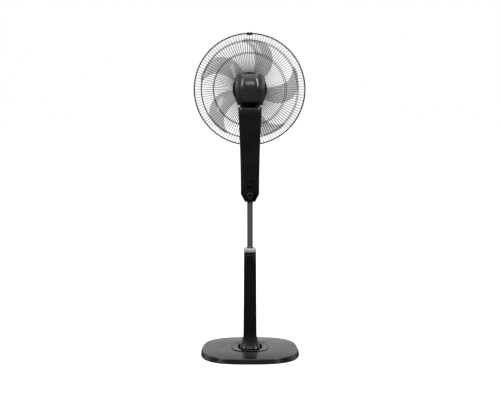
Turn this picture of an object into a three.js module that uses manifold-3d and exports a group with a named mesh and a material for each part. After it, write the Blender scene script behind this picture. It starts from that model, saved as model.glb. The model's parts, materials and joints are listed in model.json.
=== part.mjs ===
// Pedestal fan on a square-round weighted base, with a telescopic pole, a slim mast that carries
// the controls, a swinging and tilting head, a five-blade impeller and two wire guards.
// Millimetres, +Z up. The origin is on the floor under the column. The fan blows towards -Y.
import * as THREE from "three";
import { mergeVertices } from "three/addons/utils/BufferGeometryUtils.js";
import Module from "manifold-3d";

// ---------------------------------------------------------------- driving dimensions
const CLEAR = 0.3; // air between neighbouring pieces
const SLIP = 0.4; // air round a piece that slides or turns
const OVERRUN = 1; // how far a cutter reaches past the faces that it cuts

// How many flat sides stand in for a circle. Pieces that fit each other use the same count.
const SIDES = { screw: 12, usual: 16, motor: 24, base: 40, square: 20 };

const BASE = {
  halfSize: 196,
  squareness: 2.9,
  skirtLift: 1.5,
  edgeHeight: 20.5,
  sideInset: 6,
  crownHeight: 25,
  wall: 2.5,
  dishHalfWidth: 71,
  dishHalfDepth: 83,
  dishWallRun: 10,
  dishFloor: 16,
};
const BALLAST = { margin: 16, thickness: 5, legHeight: 7.7 };
const PAD = { radius: 15, inset: 62, edge: 1 };
const POLE = { radius: 11.4, wall: 1.2, inMast: 91, footRoom: 39.5 };
const BOLT = { radius: 4, headRadius: 7.5, headHeight: 4, reach: 12, washerRadius: 13, washerHeight: 1.2 };
const PLUG = { radius: 32, wall: 2 };
const COLUMN = {
  top: 410,
  halfTop: POLE.radius + 12.8,
  halfLow: POLE.radius + 15.4,
  halfDepthTop: POLE.radius + 12.8,
  halfDepthLow: POLE.radius + 15,
  flareTop: 80,
  flareRun: 54.3,
  flareOut: 13.5,
  squareness: 3.2,
  wall: 2.2,
};
const TUBE = {
  radius: POLE.radius + 3,
  wall: 1.4,
  flangeRadius: 33,
  flangeHeight: 3.5,
  top: COLUMN.top - 19,
};
const COLLAR = { height: 14.5, half: COLUMN.halfTop - 0.5, squareness: 3.2, bevelRun: 2, bevelHeight: 2.5 };
const BUSH = {
  radius: POLE.radius + 5,
  lipRadius: POLE.radius + 3.6,
  lipHeight: 2,
  bottom: COLUMN.top - 13.5,
};
const POLE_PLUG = { height: 13.7, stub: 15, stubRadius: POLE.radius - POLE.wall - SLIP };
const HEIGHT_TRAVEL = 170; // how far the mast slides down from its highest place
const HEIGHT_BUTTON = { halfWidth: 13, height: 27, top: COLUMN.top - 11, travel: 3, stand: 2.2 };
const LATCH = { thickness: 2, halfWidth: 15.5, rim: 2 };

const SOCKET = { halfWidth: POLE.radius + 5.5, halfDepth: POLE.radius + 5, height: 70 };
const MAST_STAND = 11.9; // air left between the mast and the collar at the lowest setting
const mastBottom = COLUMN.top + COLLAR.height + BUSH.lipHeight + 2 * CLEAR + HEIGHT_TRAVEL + MAST_STAND;
const MAST = {
  bottom: mastBottom,
  chamferTop: mastBottom + 31,
  top: mastBottom + 372.5,
  halfFoot: 20.1,
  halfLow: 36.6,
  halfTop: 47,
  halfDepthFoot: SOCKET.halfDepth + 6,
  halfDepthLow: SOCKET.halfDepth + 10,
  halfDepthTop: SOCKET.halfDepth + 13,
  taperPower: 2,
  squareness: 3.5,
  wall: 2.5,
};
const KNOB = { radius: 14, height: MAST.bottom + 26, thickness: 11, flutes: 12, fluteDepth: 0.9 };
const CLAMP_SCREW = { radius: 3, engaged: 4.2, inKnob: 3.4 };
const NOTCH = { halfWidth: 16.6 };
const POCKET = {
  halfWidth: 14.5,
  bottom: MAST.bottom + 49,
  lowerHeight: 16.5,
  rib: 4.5,
  upperHeight: 15,
  corner: 3,
};
const INLET = { depth: 6, openHalfWidth: 8, openHeight: 8, openDepth: 4 };
const PANEL = {
  halfWidth: 20,
  bottom: MAST.bottom + 56,
  top: MAST.bottom + 206,
  thickness: 3,
  stand: 0.6,
  corner: 6,
};
const WINDOW = { halfWidth: 14, height: 30, margin: 10, thickness: 2.4, ledge: 1.5 };
const KEYS = {
  names: ["timer_button", "swing_button", "mode_button", "speed_button", "power_button"],
  radius: 6,
  pitch: 20,
  firstAbove: 14, // from the panel's lower edge to the lowest key
  stand: 0.8,
  travel: 1,
  flangeRadius: 7.5,
  flangeThickness: 1.5,
};
const BOARD = { halfWidth: 17, thickness: 1.6, behindKeys: 1.7 };

const SWING_GEAR = { teeth: 32, module: 1.25, bottom: MAST.top - 25.5, thickness: 6 };
const PINION = { teeth: 10, shaftRadius: 2.5, shaftLength: 6 };
const SWING_MOTOR = { radius: 14, height: 18, belowGear: 4 };
const SPINDLE = { radius: 11, bore: 6, bottom: SWING_GEAR.bottom - 3 };
const BEARING_RING = { radius: 21.7, flangeRadius: 24, bottom: MAST.top - 13.5 };
const NECK = { halfWidth: 40, halfDepth: 25, discHeight: 3, coverHeight: 5.2, squareness: 2.2 };
const BRACKET = { halfWidth: 25, halfDepth: 14, plate: 2.7, cheek: 4.5, cheekInside: 18, cheekRadius: 9 };
const TILT = { height: MAST.top + 19.5, pinRadius: 3, lugRadius: 7.5, headRadius: 5, headThickness: 2 };

const AXIS_HEIGHT = TILT.height + 52;
const HOUSING = {
  bottom: AXIS_HEIGHT - 62,
  top: AXIS_HEIGHT + 59,
  seam: AXIS_HEIGHT - 2,
  seamHalfWidth: 43,
  seamSlope: 0.8,
  halfWidth: 59.2,
  sideRadius: 185,
  rear: 72,
  rearTop: 34,
  domeHeight: 64,
  rearBottom: 34,
  rearBottomHeight: 14,
  front: -14,
  wall: 2.5,
  edge: 3,
  squareness: 3,
  neckHalfWidth: NECK.halfWidth + 3,
  neckHalfDepth: NECK.halfDepth + 11,
};
const FRONT_COVER = {
  halfWidth: HOUSING.halfWidth + CLEAR,
  halfHeight: 57,
  lift: 2,
  squareness: 6,
  nose: 8,
  wall: 2.5,
};
const STATOR = { radius: 45, bore: 25.6, rear: 38, front: -2 };
const ROTOR_CORE = { radius: STATOR.bore - 0.6, rear: 36, front: 0 };
const BELL = { radius: 46, wall: 3, rearDepth: 14, frontDepth: 11.4, pocketRadius: 10, bossRadius: 18 };
const BALL_BEARING = { width: 8, sideGap: 0.6 };
const SHAFT = { radius: 4, rear: 50.5, front: -158 };
const CAPACITOR = { halfWidth: 18, length: 30, height: 9, rear: 26 };

const GUARD = {
  radius: 223.5,
  rimWire: 2.5,
  ringWire: 1.6,
  wire: 1.0,
  spokes: 12,
  innerRingShare: 0.65324,
  outerRingShare: 0.87248,
  rearCentre: 68,
  rearDepth: 67.5,
  rolledEdge: 1.5,
  frontCentre: 50,
  frontDepth: 82.5,
  bulge: 2.4,
  fullness: 1.5,
  rimRear: -123.5,
  plate: 2,
  spokeInset: 1.5,
};
const GUARD_NUT = { radius: 34, thickness: 8, lobes: 8, lobeDepth: 2 };
const BADGE = { radius: 46, thickness: 4, dome: 3 };
const CLIP = { halfWidth: 11, wall: 3, grip: 1.3 };
const CLIP_SCREW = { radius: 1.5, headRadius: 3, headHeight: 1.6, reach: 1.9 };

const IMPELLER = {
  blades: 5,
  tip: GUARD.radius - 23.5,
  hubRadius: 62,
  hubRear: -92,
  hubFront: -146,
  hubWall: 2.5,
  hubEdge: 8,
  bossRadius: 11,
  bossLength: 30,
  bladeMiddle: -120,
  bladeRise: 36,
  bladeCamber: 4,
  bladeThickness: 2.2,
  firstBlade: 58.4,
  lowStart: -19.9,
  lowSweep: 31.9,
  lowPower: 2,
  highStart: 19.9,
  highSweep: 24,
  highPower: 3.6,
  tipCornerLow: 16,
  tipCornerLowDegrees: 12,
  tipCornerHigh: 8,
  tipCornerHighDegrees: 10,
};
const SPINNER = { radius: 16, length: 18, bore: 12 };

// ---------------------------------------------------------------- joining and cutting
const manifold = await Module();
manifold.setup();

function solid(geometry) {
  const bare = geometry.index ? geometry.toNonIndexed() : geometry.clone();
  for (const name of Object.keys(bare.attributes)) {
    if (name !== "position") bare.deleteAttribute(name);
  }
  const merged = mergeVertices(bare, 1e-4);
  const triVerts = new Uint32Array(merged.index.array);
  const vertProperties = merged.attributes.position.array;
  const made = new manifold.Manifold(new manifold.Mesh({ numProp: 3, vertProperties, triVerts }));
  if (made.volume() > 0) return made;
  const turned = triVerts.slice();
  for (let i = 0; i < turned.length; i += 3) {
    turned[i + 1] = triVerts[i + 2];
    turned[i + 2] = triVerts[i + 1];
  }
  return new manifold.Manifold(new manifold.Mesh({ numProp: 3, vertProperties, triVerts: turned }));
}

function geometryOf(made) {
  const { numVert, numProp, vertProperties, triVerts } = made.getMesh();
  const positions = new Float32Array(numVert * 3);
  for (let i = 0; i < numVert; i++) {
    positions.set(vertProperties.subarray(i * numProp, i * numProp + 3), i * 3);
  }
  const geometry = new THREE.BufferGeometry();
  geometry.setAttribute("position", new THREE.BufferAttribute(positions, 3));
  geometry.setIndex(new THREE.BufferAttribute(triVerts, 1));
  return geometry;
}

const join = (first, ...others) => others.reduce((sum, piece) => sum.add(piece), first);
const cut = (first, ...others) => others.reduce((rest, piece) => rest.subtract(piece), first);

// ---------------------------------------------------------------- shapes
const degrees = THREE.MathUtils.degToRad;
const along = { x: [0, 0, -Math.PI / 2], y: [0, 0, 0], z: [Math.PI / 2, 0, 0] };

// Turns a shape made round the Y axis so that its axis lies along the axis asked for.
function turn(geometry, axis) {
  const [x, , z] = along[axis];
  return geometry.rotateX(x).rotateZ(z);
}

// A turned piece: profile points are [radius, place along the axis].
function lathe(points, axis = "z", sides = SIDES.usual) {
  const closed = points.some(([radius]) => radius === 0) ? points : [...points, points[0]];
  const profile = closed.map(([radius, place]) => new THREE.Vector2(radius, place));
  return solid(turn(new THREE.LatheGeometry(profile, sides), axis));
}

function rod(radius, from, to, axis = "z", sides = SIDES.usual) {
  return lathe([[0, from], [radius, from], [radius, to], [0, to]], axis, sides);
}

function ring(inner, outer, from, to, axis = "z", sides = SIDES.usual) {
  return lathe([[inner, from], [outer, from], [outer, to], [inner, to]], axis, sides);
}

function box(x0, x1, y0, y1, z0, z1) {
  const geometry = new THREE.BoxGeometry(x1 - x0, y1 - y0, z1 - z0);
  return solid(geometry.translate((x0 + x1) / 2, (y0 + y1) / 2, (z0 + z1) / 2));
}

// A stack of square-round sections. Each level has its place along the axis, its two half sizes
// and, where it isn't centred, the place of its middle.
function loft(levels, squareness, axis = "z", sides = SIDES.square) {
  const last = levels.length - 1;
  const profile = [new THREE.Vector2(0, 0)];
  levels.forEach((level, i) => profile.push(new THREE.Vector2(1, i)));
  profile.push(new THREE.Vector2(0, last));
  const geometry = new THREE.LatheGeometry(profile, sides);
  const position = geometry.attributes.position;
  for (let i = 0; i < position.count; i++) {
    const level = levels[Math.round(position.getY(i))];
    const reach = Math.round(Math.hypot(position.getX(i), position.getZ(i)));
    const angle = Math.atan2(position.getZ(i), position.getX(i));
    const spread = (value) => {
      if (Math.abs(value) < 1e-6) return 0;
      return Math.sign(value) * Math.abs(value) ** (2 / squareness);
    };
    const first = reach * spread(Math.cos(angle)) * level.half[0] + (level.middle ?? [0, 0])[0];
    const second = reach * spread(Math.sin(angle)) * level.half[1] + (level.middle ?? [0, 0])[1];
    if (axis === "z") position.setXYZ(i, first, second, level.at);
    else position.setXYZ(i, first, level.at, second);
  }
  return solid(geometry);
}

const steps = (count, make) => Array.from({ length: count + 1 }, (_, i) => make(i / count));

// An outline in the X-Z plane, given thickness along Y from the first place to the second.
function plateXZ(shape, from, to) {
  const settings = { depth: to - from, bevelEnabled: false, curveSegments: 4 };
  const geometry = new THREE.ExtrudeGeometry(shape, settings);
  return solid(geometry.rotateX(Math.PI / 2).translate(0, to, 0));
}

function roundedRectangle(x0, x1, z0, z1, radius) {
  const shape = new THREE.Shape();
  shape.moveTo(x0 + radius, z0);
  shape.lineTo(x1 - radius, z0).absarc(x1 - radius, z0 + radius, radius, -Math.PI / 2, 0);
  shape.lineTo(x1, z1 - radius).absarc(x1 - radius, z1 - radius, radius, 0, Math.PI / 2);
  shape.lineTo(x0 + radius, z1).absarc(x0 + radius, z1 - radius, radius, Math.PI / 2, Math.PI);
  shape.lineTo(x0, z0 + radius).absarc(x0 + radius, z0 + radius, radius, Math.PI, 1.5 * Math.PI);
  return shape;
}

// A round outline with evenly spaced hollows in it.
function flutedDisc(radius, depth, flutes, pointsPerFlute = 3) {
  const count = flutes * pointsPerFlute;
  const points = Array.from({ length: count }, (_, i) => {
    const angle = (2 * Math.PI * i) / count;
    const reach = radius - (depth * (1 - Math.cos(flutes * angle))) / 2;
    return new THREE.Vector2(reach * Math.cos(angle), reach * Math.sin(angle));
  });
  return new THREE.Shape(points);
}

// ---------------------------------------------------------------- scene helpers
const fan = new THREE.Group();
fan.name = "pedestal_fan";

const finish = (color, roughness, metalness = 0) =>
  new THREE.MeshStandardMaterial({ color, roughness, metalness });
const looks = {
  satinBlack: () => finish(0x1c1c1d, 0.42),
  baseBlack: () => finish(0x2a2a2b, 0.38),
  glossBlack: () => finish(0x08080a, 0.12),
  housing: () => finish(0x2c2c2d, 0.4),
  smoke: () => finish(0x6a6c6e, 0.25),
  chrome: () => finish(0x8c8d8f, 0.22, 1),
  satinMetal: () => finish(0xc3c4c6, 0.35, 1),
  steel: () => finish(0x77797b, 0.45, 1),
  castIron: () => finish(0x4a4b4d, 0.7, 1),
  rubber: () => finish(0x18181a, 0.9),
  whitePlastic: () => finish(0xd8d6cf, 0.5),
  wire: () => finish(0x101011, 0.35),
  board: () => finish(0x1f5a34, 0.6),
  tinted: () => finish(0x0c0d10, 0.08),
};

function piece(group, name, made, material) {
  const mesh = new THREE.Mesh(geometryOf(made), material);
  mesh.name = name;
  group.add(mesh);
  return mesh;
}

function groupAt(x, y, z, parent = fan) {
  const group = new THREE.Group();
  group.position.set(x, y, z);
  parent.add(group);
  return group;
}

// ---------------------------------------------------------------- base
const ballastBottom = BALLAST.legHeight;
const ballastTop = ballastBottom + BALLAST.thickness;
const flangeBottom = ballastTop + CLEAR;
const flangeTop = flangeBottom + TUBE.flangeHeight;
const columnBottom = BASE.dishFloor + CLEAR;
const poleBottom = flangeTop + HEIGHT_TRAVEL + POLE_PLUG.height + CLEAR + POLE.footRoom;

function baseBody(shrink, bottom) {
  const edge = BASE.halfSize - BASE.sideInset;
  const square = (half, at) => ({ at: at - shrink, half: [half - shrink, half - shrink] });
  const dish = (run, at) => ({
    at: at - shrink,
    half: [BASE.dishHalfWidth - run + shrink, BASE.dishHalfDepth - run + shrink],
  });
  const crown = (t) => {
    const half = THREE.MathUtils.lerp(edge - 3, BASE.dishHalfDepth + 12, t);
    const rise = BASE.edgeHeight + (BASE.crownHeight - BASE.edgeHeight) * Math.sin((t * Math.PI) / 2);
    return square(half, rise);
  };
  return loft(
    [
      { at: bottom, half: [BASE.halfSize - 1.5 - shrink, BASE.halfSize - 1.5 - shrink] },
      { at: bottom + 2, half: [BASE.halfSize - shrink, BASE.halfSize - shrink] },
      square(edge, BASE.edgeHeight - 1.6),
      ...steps(2, crown),
      dish(-3, BASE.crownHeight),
      dish(0, BASE.crownHeight - 0.8),
      dish(BASE.dishWallRun, BASE.dishFloor + 0.4),
      dish(BASE.dishWallRun + 4, BASE.dishFloor),
    ],
    BASE.squareness,
    "z",
    SIDES.base,
  );
}

function makeBase() {
  const group = groupAt(0, 0, 0);
  const hole = rod(TUBE.flangeRadius + SLIP, 0, BASE.crownHeight + OVERRUN);
  const hollow = baseBody(BASE.wall, -OVERRUN);
  piece(group, "base_cover", cut(baseBody(0, BASE.skirtLift), hollow, hole), looks.baseBlack());

  const ballastHalf = BASE.halfSize - BALLAST.margin;
  const slab = loft(
    [ballastBottom, ballastTop].map((at) => ({ at, half: [ballastHalf, ballastHalf] })),
    BASE.squareness,
    "z",
    SIDES.base,
  );
  const boltHole = rod(BOLT.radius + SLIP, 0, ballastTop + OVERRUN, "z", SIDES.screw);
  piece(group, "base_weight", cut(slab, boltHole), looks.castIron());

  const padPlace = ballastHalf - PAD.inset;
  const padTop = ballastBottom - CLEAR;
  const padProfile = [
    [0, 0],
    [PAD.radius - PAD.edge, 0],
    [PAD.radius, PAD.edge],
    [PAD.radius, padTop],
    [0, padTop],
  ];
  [[1, 1], [-1, 1], [-1, -1], [1, -1]].forEach(([x, y], i) => {
    const pad = piece(group, `foot_pad_${i + 1}`, lathe(padProfile), looks.rubber());
    pad.position.set(x * padPlace, y * padPlace, 0);
  });

  const washerTop = ballastBottom - CLEAR;
  const washerBottom = washerTop - BOLT.washerHeight;
  piece(
    group,
    "column_washer",
    ring(BOLT.radius + SLIP, BOLT.washerRadius, washerBottom, washerTop),
    looks.steel(),
  );
  const headTop = washerBottom - CLEAR;
  const head = rod(BOLT.headRadius, headTop - BOLT.headHeight, headTop, "z", 6);
  const shank = rod(BOLT.radius, headTop - 1, headTop + BOLT.reach, "z", SIDES.screw);
  piece(group, "column_bolt", join(head, shank), looks.steel());
  piece(
    group,
    "bolt_cover",
    lathe(
      [
        [0, 0],
        [PLUG.radius, 0],
        [PLUG.radius, washerTop],
        [PLUG.radius - PLUG.wall, washerTop],
        [PLUG.radius - PLUG.wall, headTop - BOLT.headHeight - CLEAR],
        [0, headTop - BOLT.headHeight - CLEAR],
      ],
      "z",
      24,
    ),
    looks.rubber(),
  );
}

// ---------------------------------------------------------------- column
function columnHalf(height, top, low) {
  const share = THREE.MathUtils.clamp((height - COLUMN.flareTop) / (COLUMN.top - COLUMN.flareTop), 0, 1);
  const straight = THREE.MathUtils.lerp(low, top, share);
  const down = Math.max(0, COLUMN.flareTop - height);
  return straight + COLUMN.flareOut * (down / COLUMN.flareRun) ** 1.8;
}

function columnBody(shrink, over) {
  const straight = steps(2, (t) => THREE.MathUtils.lerp(COLUMN.flareTop, COLUMN.top + over, t));
  const flare = steps(6, (t) => THREE.MathUtils.lerp(columnBottom - over, COLUMN.flareTop, t)).slice(0, -1);
  const levels = [...flare, ...straight].map((at) => ({
    at,
    half: [
      columnHalf(at, COLUMN.halfTop, COLUMN.halfLow) - shrink,
      columnHalf(at, COLUMN.halfDepthTop, COLUMN.halfDepthLow) - shrink,
    ],
  }));
  return loft(levels, COLUMN.squareness);
}

const bushInner = POLE.radius + SLIP;
const collarBottom = COLUMN.top + CLEAR;
const collarTop = collarBottom + COLLAR.height;
const buttonBottom = HEIGHT_BUTTON.top - HEIGHT_BUTTON.height;
const latchTop = BUSH.bottom - CLEAR;

function makeColumn() {
  const group = groupAt(0, 0, 0);
  const window = box(
    -HEIGHT_BUTTON.halfWidth - CLEAR,
    HEIGHT_BUTTON.halfWidth + CLEAR,
    TUBE.radius,
    COLUMN.halfDepthLow + OVERRUN,
    buttonBottom - CLEAR,
    HEIGHT_BUTTON.top + CLEAR,
  );
  const cover = cut(columnBody(0, 0), columnBody(COLUMN.wall, OVERRUN), window);
  piece(group, "column_cover", cover, looks.satinBlack());

  piece(
    group,
    "guide_tube",
    lathe([
      [BOLT.radius + SLIP, flangeBottom],
      [TUBE.flangeRadius, flangeBottom],
      [TUBE.flangeRadius, flangeTop],
      [TUBE.radius, flangeTop],
      [TUBE.radius, TUBE.top],
      [TUBE.radius - TUBE.wall, TUBE.top],
      [TUBE.radius - TUBE.wall, flangeTop],
      [BOLT.radius + SLIP, flangeTop],
    ]),
    looks.steel(),
  );

  const edge = COLLAR.half - COLLAR.bevelRun;
  const collar = loft(
    [
      { at: collarBottom, half: [COLLAR.half, COLLAR.half] },
      { at: collarTop - COLLAR.bevelHeight, half: [COLLAR.half, COLLAR.half] },
      { at: collarTop, half: [edge, edge] },
    ],
    COLLAR.squareness,
  );
  const bore = rod(BUSH.radius + CLEAR, collarBottom - OVERRUN, collarTop + OVERRUN);
  piece(group, "collar", cut(collar, bore), looks.satinMetal());

  const lipBottom = collarTop + CLEAR;
  piece(
    group,
    "guide_bush",
    lathe([
      [bushInner, BUSH.bottom],
      [BUSH.radius, BUSH.bottom],
      [BUSH.radius, lipBottom],
      [BUSH.lipRadius, lipBottom + BUSH.lipHeight],
      [bushInner, lipBottom + BUSH.lipHeight],
    ]),
    looks.satinBlack(),
  );
}

// The button is pressed towards the column and carries the plate that grips the pole.
function makeHeightButton() {
  const group = groupAt(0, 0, 0);
  const outer = columnHalf(HEIGHT_BUTTON.top, COLUMN.halfDepthTop, COLUMN.halfDepthLow) + HEIGHT_BUTTON.stand;
  const inner = BUSH.radius + HEIGHT_BUTTON.travel + SLIP;
  const width = HEIGHT_BUTTON.halfWidth;
  const outline = roundedRectangle(-width, width, buttonBottom, HEIGHT_BUTTON.top, 4);
  const latchBottom = latchTop - LATCH.thickness;
  const grip = POLE.radius + HEIGHT_BUTTON.travel + SLIP;
  const gripHole = rod(grip, latchBottom - OVERRUN, latchTop + OVERRUN);
  const slot = box(
    -LATCH.halfWidth,
    LATCH.halfWidth,
    inner - OVERRUN,
    inner + 3,
    latchBottom - CLEAR,
    latchTop + CLEAR,
  );
  piece(group, "height_button", cut(plateXZ(outline, inner, outer), slot), looks.satinBlack());
  const eye = rod(grip + LATCH.rim, latchBottom, latchTop);
  const strap = box(-LATCH.halfWidth, LATCH.halfWidth, 0, inner + 3 - CLEAR, latchBottom, latchTop);
  const tongue = box(-width + 2, width - 2, inner - OVERRUN, inner + 4, latchBottom - 2, latchTop + 2);
  const shoulders = cut(
    box(-LATCH.halfWidth - 1, LATCH.halfWidth + 1, inner - 1, inner + 4, latchBottom - 1, latchTop + 1),
    tongue,
  );
  piece(group, "latch_plate", cut(join(eye, strap), gripHole, shoulders), looks.steel());
}

// ---------------------------------------------------------------- pole
const poleTop = MAST.bottom + POLE.inMast;

function makePole(group) {
  piece(group, "pole", ring(POLE.radius - POLE.wall, POLE.radius, poleBottom, poleTop), looks.chrome());
  const plugRadius = TUBE.radius - TUBE.wall - SLIP;
  const plugTop = poleBottom - CLEAR;
  piece(
    group,
    "pole_plug",
    lathe([
      [0, plugTop - POLE_PLUG.height],
      [plugRadius, plugTop - POLE_PLUG.height],
      [plugRadius, plugTop],
      [POLE_PLUG.stubRadius, plugTop],
      [POLE_PLUG.stubRadius, plugTop + POLE_PLUG.stub],
      [0, plugTop + POLE_PLUG.stub],
    ]),
    looks.whitePlastic(),
  );
}

// ---------------------------------------------------------------- mast
function mastHalf(height) {
  if (height <= MAST.chamferTop) {
    const share = (height - MAST.bottom) / (MAST.chamferTop - MAST.bottom);
    return [
      THREE.MathUtils.lerp(MAST.halfFoot, MAST.halfLow, share),
      THREE.MathUtils.lerp(MAST.halfDepthFoot, MAST.halfDepthLow, share),
    ];
  }
  const share = (height - MAST.chamferTop) / (MAST.top - MAST.chamferTop);
  return [
    MAST.halfLow + (MAST.halfTop - MAST.halfLow) * share ** MAST.taperPower,
    THREE.MathUtils.lerp(MAST.halfDepthLow, MAST.halfDepthTop, share),
  ];
}

function mastBody(shrink) {
  const heights = [
    MAST.bottom + shrink,
    ...steps(6, (t) => THREE.MathUtils.lerp(MAST.chamferTop, MAST.top - shrink, t)),
  ];
  const levels = heights.map((at) => {
    const [x, y] = mastHalf(at);
    return { at, half: [x - shrink, y - shrink] };
  });
  return loft(levels, MAST.squareness);
}

const panelFront = -mastHalf((PANEL.bottom + PANEL.top) / 2)[1] - PANEL.stand;
const panelBack = panelFront + PANEL.thickness;
const keyInner = panelBack + CLEAR + KEYS.flangeThickness + 2;
const boardFront = keyInner + BOARD.behindKeys;
const socketBottom = MAST.bottom + MAST.wall + CLEAR;
const pocketUpper = POCKET.bottom + POCKET.lowerHeight + POCKET.rib;
const pocketTop = pocketUpper + POCKET.upperHeight;
const spindleTop = MAST.top + CLEAR;

function makeMast(group) {
  const far = MAST.halfTop + OVERRUN;
  const hollow = mastBody(MAST.wall);
  const poleHole = rod(POLE.radius + SLIP, MAST.bottom - OVERRUN, MAST.bottom + MAST.wall + OVERRUN);
  const bearingHole = rod(BEARING_RING.radius + CLEAR, MAST.top - MAST.wall - OVERRUN, MAST.top + OVERRUN);
  const shell = cut(mastBody(0), hollow, poleHole, bearingHole);
  const rearSide = box(-far, far, CLEAR / 2, far, 0, MAST.top + OVERRUN);
  const frontSide = box(-far, far, -far, -CLEAR / 2, 0, MAST.top + OVERRUN);

  const notch = join(
    box(-NOTCH.halfWidth, NOTCH.halfWidth, CLEAR, far, MAST.bottom - OVERRUN, KNOB.height),
    rod(NOTCH.halfWidth, CLEAR, far, "y").translate([0, 0, KNOB.height]),
  );
  const pockets = [
    [POCKET.bottom, POCKET.lowerHeight],
    [pocketUpper, POCKET.upperHeight],
  ].map(([from, height]) => {
    const outline = roundedRectangle(-POCKET.halfWidth, POCKET.halfWidth, from, from + height, POCKET.corner);
    return plateXZ(outline, SOCKET.halfDepth, far);
  });
  piece(group, "mast_rear_shell", cut(shell.intersect(rearSide), notch, ...pockets), looks.satinBlack());

  const panelHole = roundedRectangle(
    -PANEL.halfWidth - CLEAR,
    PANEL.halfWidth + CLEAR,
    PANEL.bottom - CLEAR,
    PANEL.top + CLEAR,
    PANEL.corner + CLEAR,
  );
  const opening = plateXZ(panelHole, -far, boardFront);
  piece(group, "mast_front_shell", cut(shell.intersect(frontSide), opening), looks.satinBlack());

  const block = box(
    -SOCKET.halfWidth,
    SOCKET.halfWidth,
    -SOCKET.halfDepth,
    SOCKET.halfDepth,
    socketBottom,
    socketBottom + SOCKET.height,
  );
  const poleBore = rod(POLE.radius + CLEAR, socketBottom - OVERRUN, socketBottom + SOCKET.height + OVERRUN);
  const screwBore = rod(CLAMP_SCREW.radius + SLIP, 0, SOCKET.halfDepth + OVERRUN, "y", SIDES.screw);
  const inMast = cut(block, poleBore, screwBore.translate([0, 0, KNOB.height]));
  const footInside = mastBody(MAST.wall + CLEAR);
  piece(group, "pole_socket", inMast.intersect(footInside), looks.satinBlack());

  const inletFront = SOCKET.halfDepth + CLEAR;
  const inlet = box(
    -POCKET.halfWidth - 2,
    POCKET.halfWidth + 2,
    inletFront,
    inletFront + INLET.depth,
    POCKET.bottom - 2,
    pocketTop + 2,
  );
  const middle = POCKET.bottom + POCKET.lowerHeight / 2;
  const contacts = plateXZ(
    roundedRectangle(
      -INLET.openHalfWidth,
      INLET.openHalfWidth,
      middle - INLET.openHeight / 2,
      middle + INLET.openHeight / 2,
      INLET.openHeight / 2 - 0.1,
    ),
    inletFront + INLET.depth - INLET.openDepth,
    far,
  );
  piece(group, "cord_inlet", cut(inlet, contacts).intersect(footInside), looks.satinBlack());
}

function keyHeight(index) {
  return PANEL.bottom + KEYS.firstAbove + index * KEYS.pitch;
}

function makePanel(group) {
  const outline = roundedRectangle(-PANEL.halfWidth, PANEL.halfWidth, PANEL.bottom, PANEL.top, PANEL.corner);
  const plate = plateXZ(outline, panelFront, panelBack);
  const windowTop = PANEL.top - WINDOW.margin;
  const windowBottom = windowTop - WINDOW.height;
  const windowHole = plateXZ(
    roundedRectangle(
      -WINDOW.halfWidth - CLEAR,
      WINDOW.halfWidth + CLEAR,
      windowBottom - CLEAR,
      windowTop + CLEAR,
      3 + CLEAR,
    ),
    panelFront - OVERRUN,
    panelBack + OVERRUN,
  );
  const keyHole = rod(KEYS.radius + SLIP, panelFront - OVERRUN, panelBack + OVERRUN, "y", SIDES.screw);
  const keyHoles = KEYS.names.map((name, i) => keyHole.translate([0, 0, keyHeight(i)]));
  piece(group, "control_panel", cut(plate, windowHole, ...keyHoles), looks.glossBlack());
  piece(
    group,
    "display_window",
    plateXZ(
      roundedRectangle(-WINDOW.halfWidth, WINDOW.halfWidth, windowBottom, windowTop, 3),
      panelFront,
      panelFront + WINDOW.thickness,
    ),
    looks.tinted(),
  );
  piece(
    group,
    "control_board",
    box(
      -BOARD.halfWidth,
      BOARD.halfWidth,
      boardFront,
      boardFront + BOARD.thickness,
      PANEL.bottom + 3,
      PANEL.top - 3,
    ),
    looks.board(),
  );
}

function makeKeys() {
  KEYS.names.forEach((name, i) => {
    const group = groupAt(0, 0, keyHeight(i));
    const flangeFront = panelBack + CLEAR;
    const flangeBack = flangeFront + KEYS.flangeThickness;
    const key = lathe(
      [
        [0, panelFront - KEYS.stand],
        [KEYS.radius - 0.8, panelFront - KEYS.stand],
        [KEYS.radius, panelFront],
        [KEYS.radius, flangeFront],
        [KEYS.flangeRadius, flangeFront],
        [KEYS.flangeRadius, flangeBack],
        [2, flangeBack],
        [2, keyInner],
        [0, keyInner],
      ],
      "y",
      SIDES.screw,
    );
    piece(group, name, key, looks.satinBlack());
  });
}

function makeClampKnob() {
  const group = groupAt(0, 0, KNOB.height);
  const inner = SOCKET.halfDepth + 2;
  const screwEnd = inner + CLAMP_SCREW.inKnob;
  const disc = plateXZ(flutedDisc(KNOB.radius, KNOB.fluteDepth, KNOB.flutes), inner, inner + KNOB.thickness);
  const dimple = rod(KNOB.radius * 0.55, inner + KNOB.thickness - 1.5, inner + KNOB.thickness + OVERRUN, "y");
  const bore = rod(CLAMP_SCREW.radius + CLEAR, inner - OVERRUN, screwEnd + CLEAR, "y", SIDES.screw);
  piece(group, "clamp_knob", cut(disc, dimple, bore), looks.satinBlack());
  const tip = SOCKET.halfDepth - CLAMP_SCREW.engaged;
  piece(group, "clamp_screw", rod(CLAMP_SCREW.radius, tip, screwEnd, "y", SIDES.screw), looks.steel());
}

// ---------------------------------------------------------------- swing drive
const gearTop = SWING_GEAR.bottom + SWING_GEAR.thickness;
const pitchRadius = (teeth) => (teeth * SWING_GEAR.module) / 2;
const pinionPlace = pitchRadius(SWING_GEAR.teeth) + pitchRadius(PINION.teeth);

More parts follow.
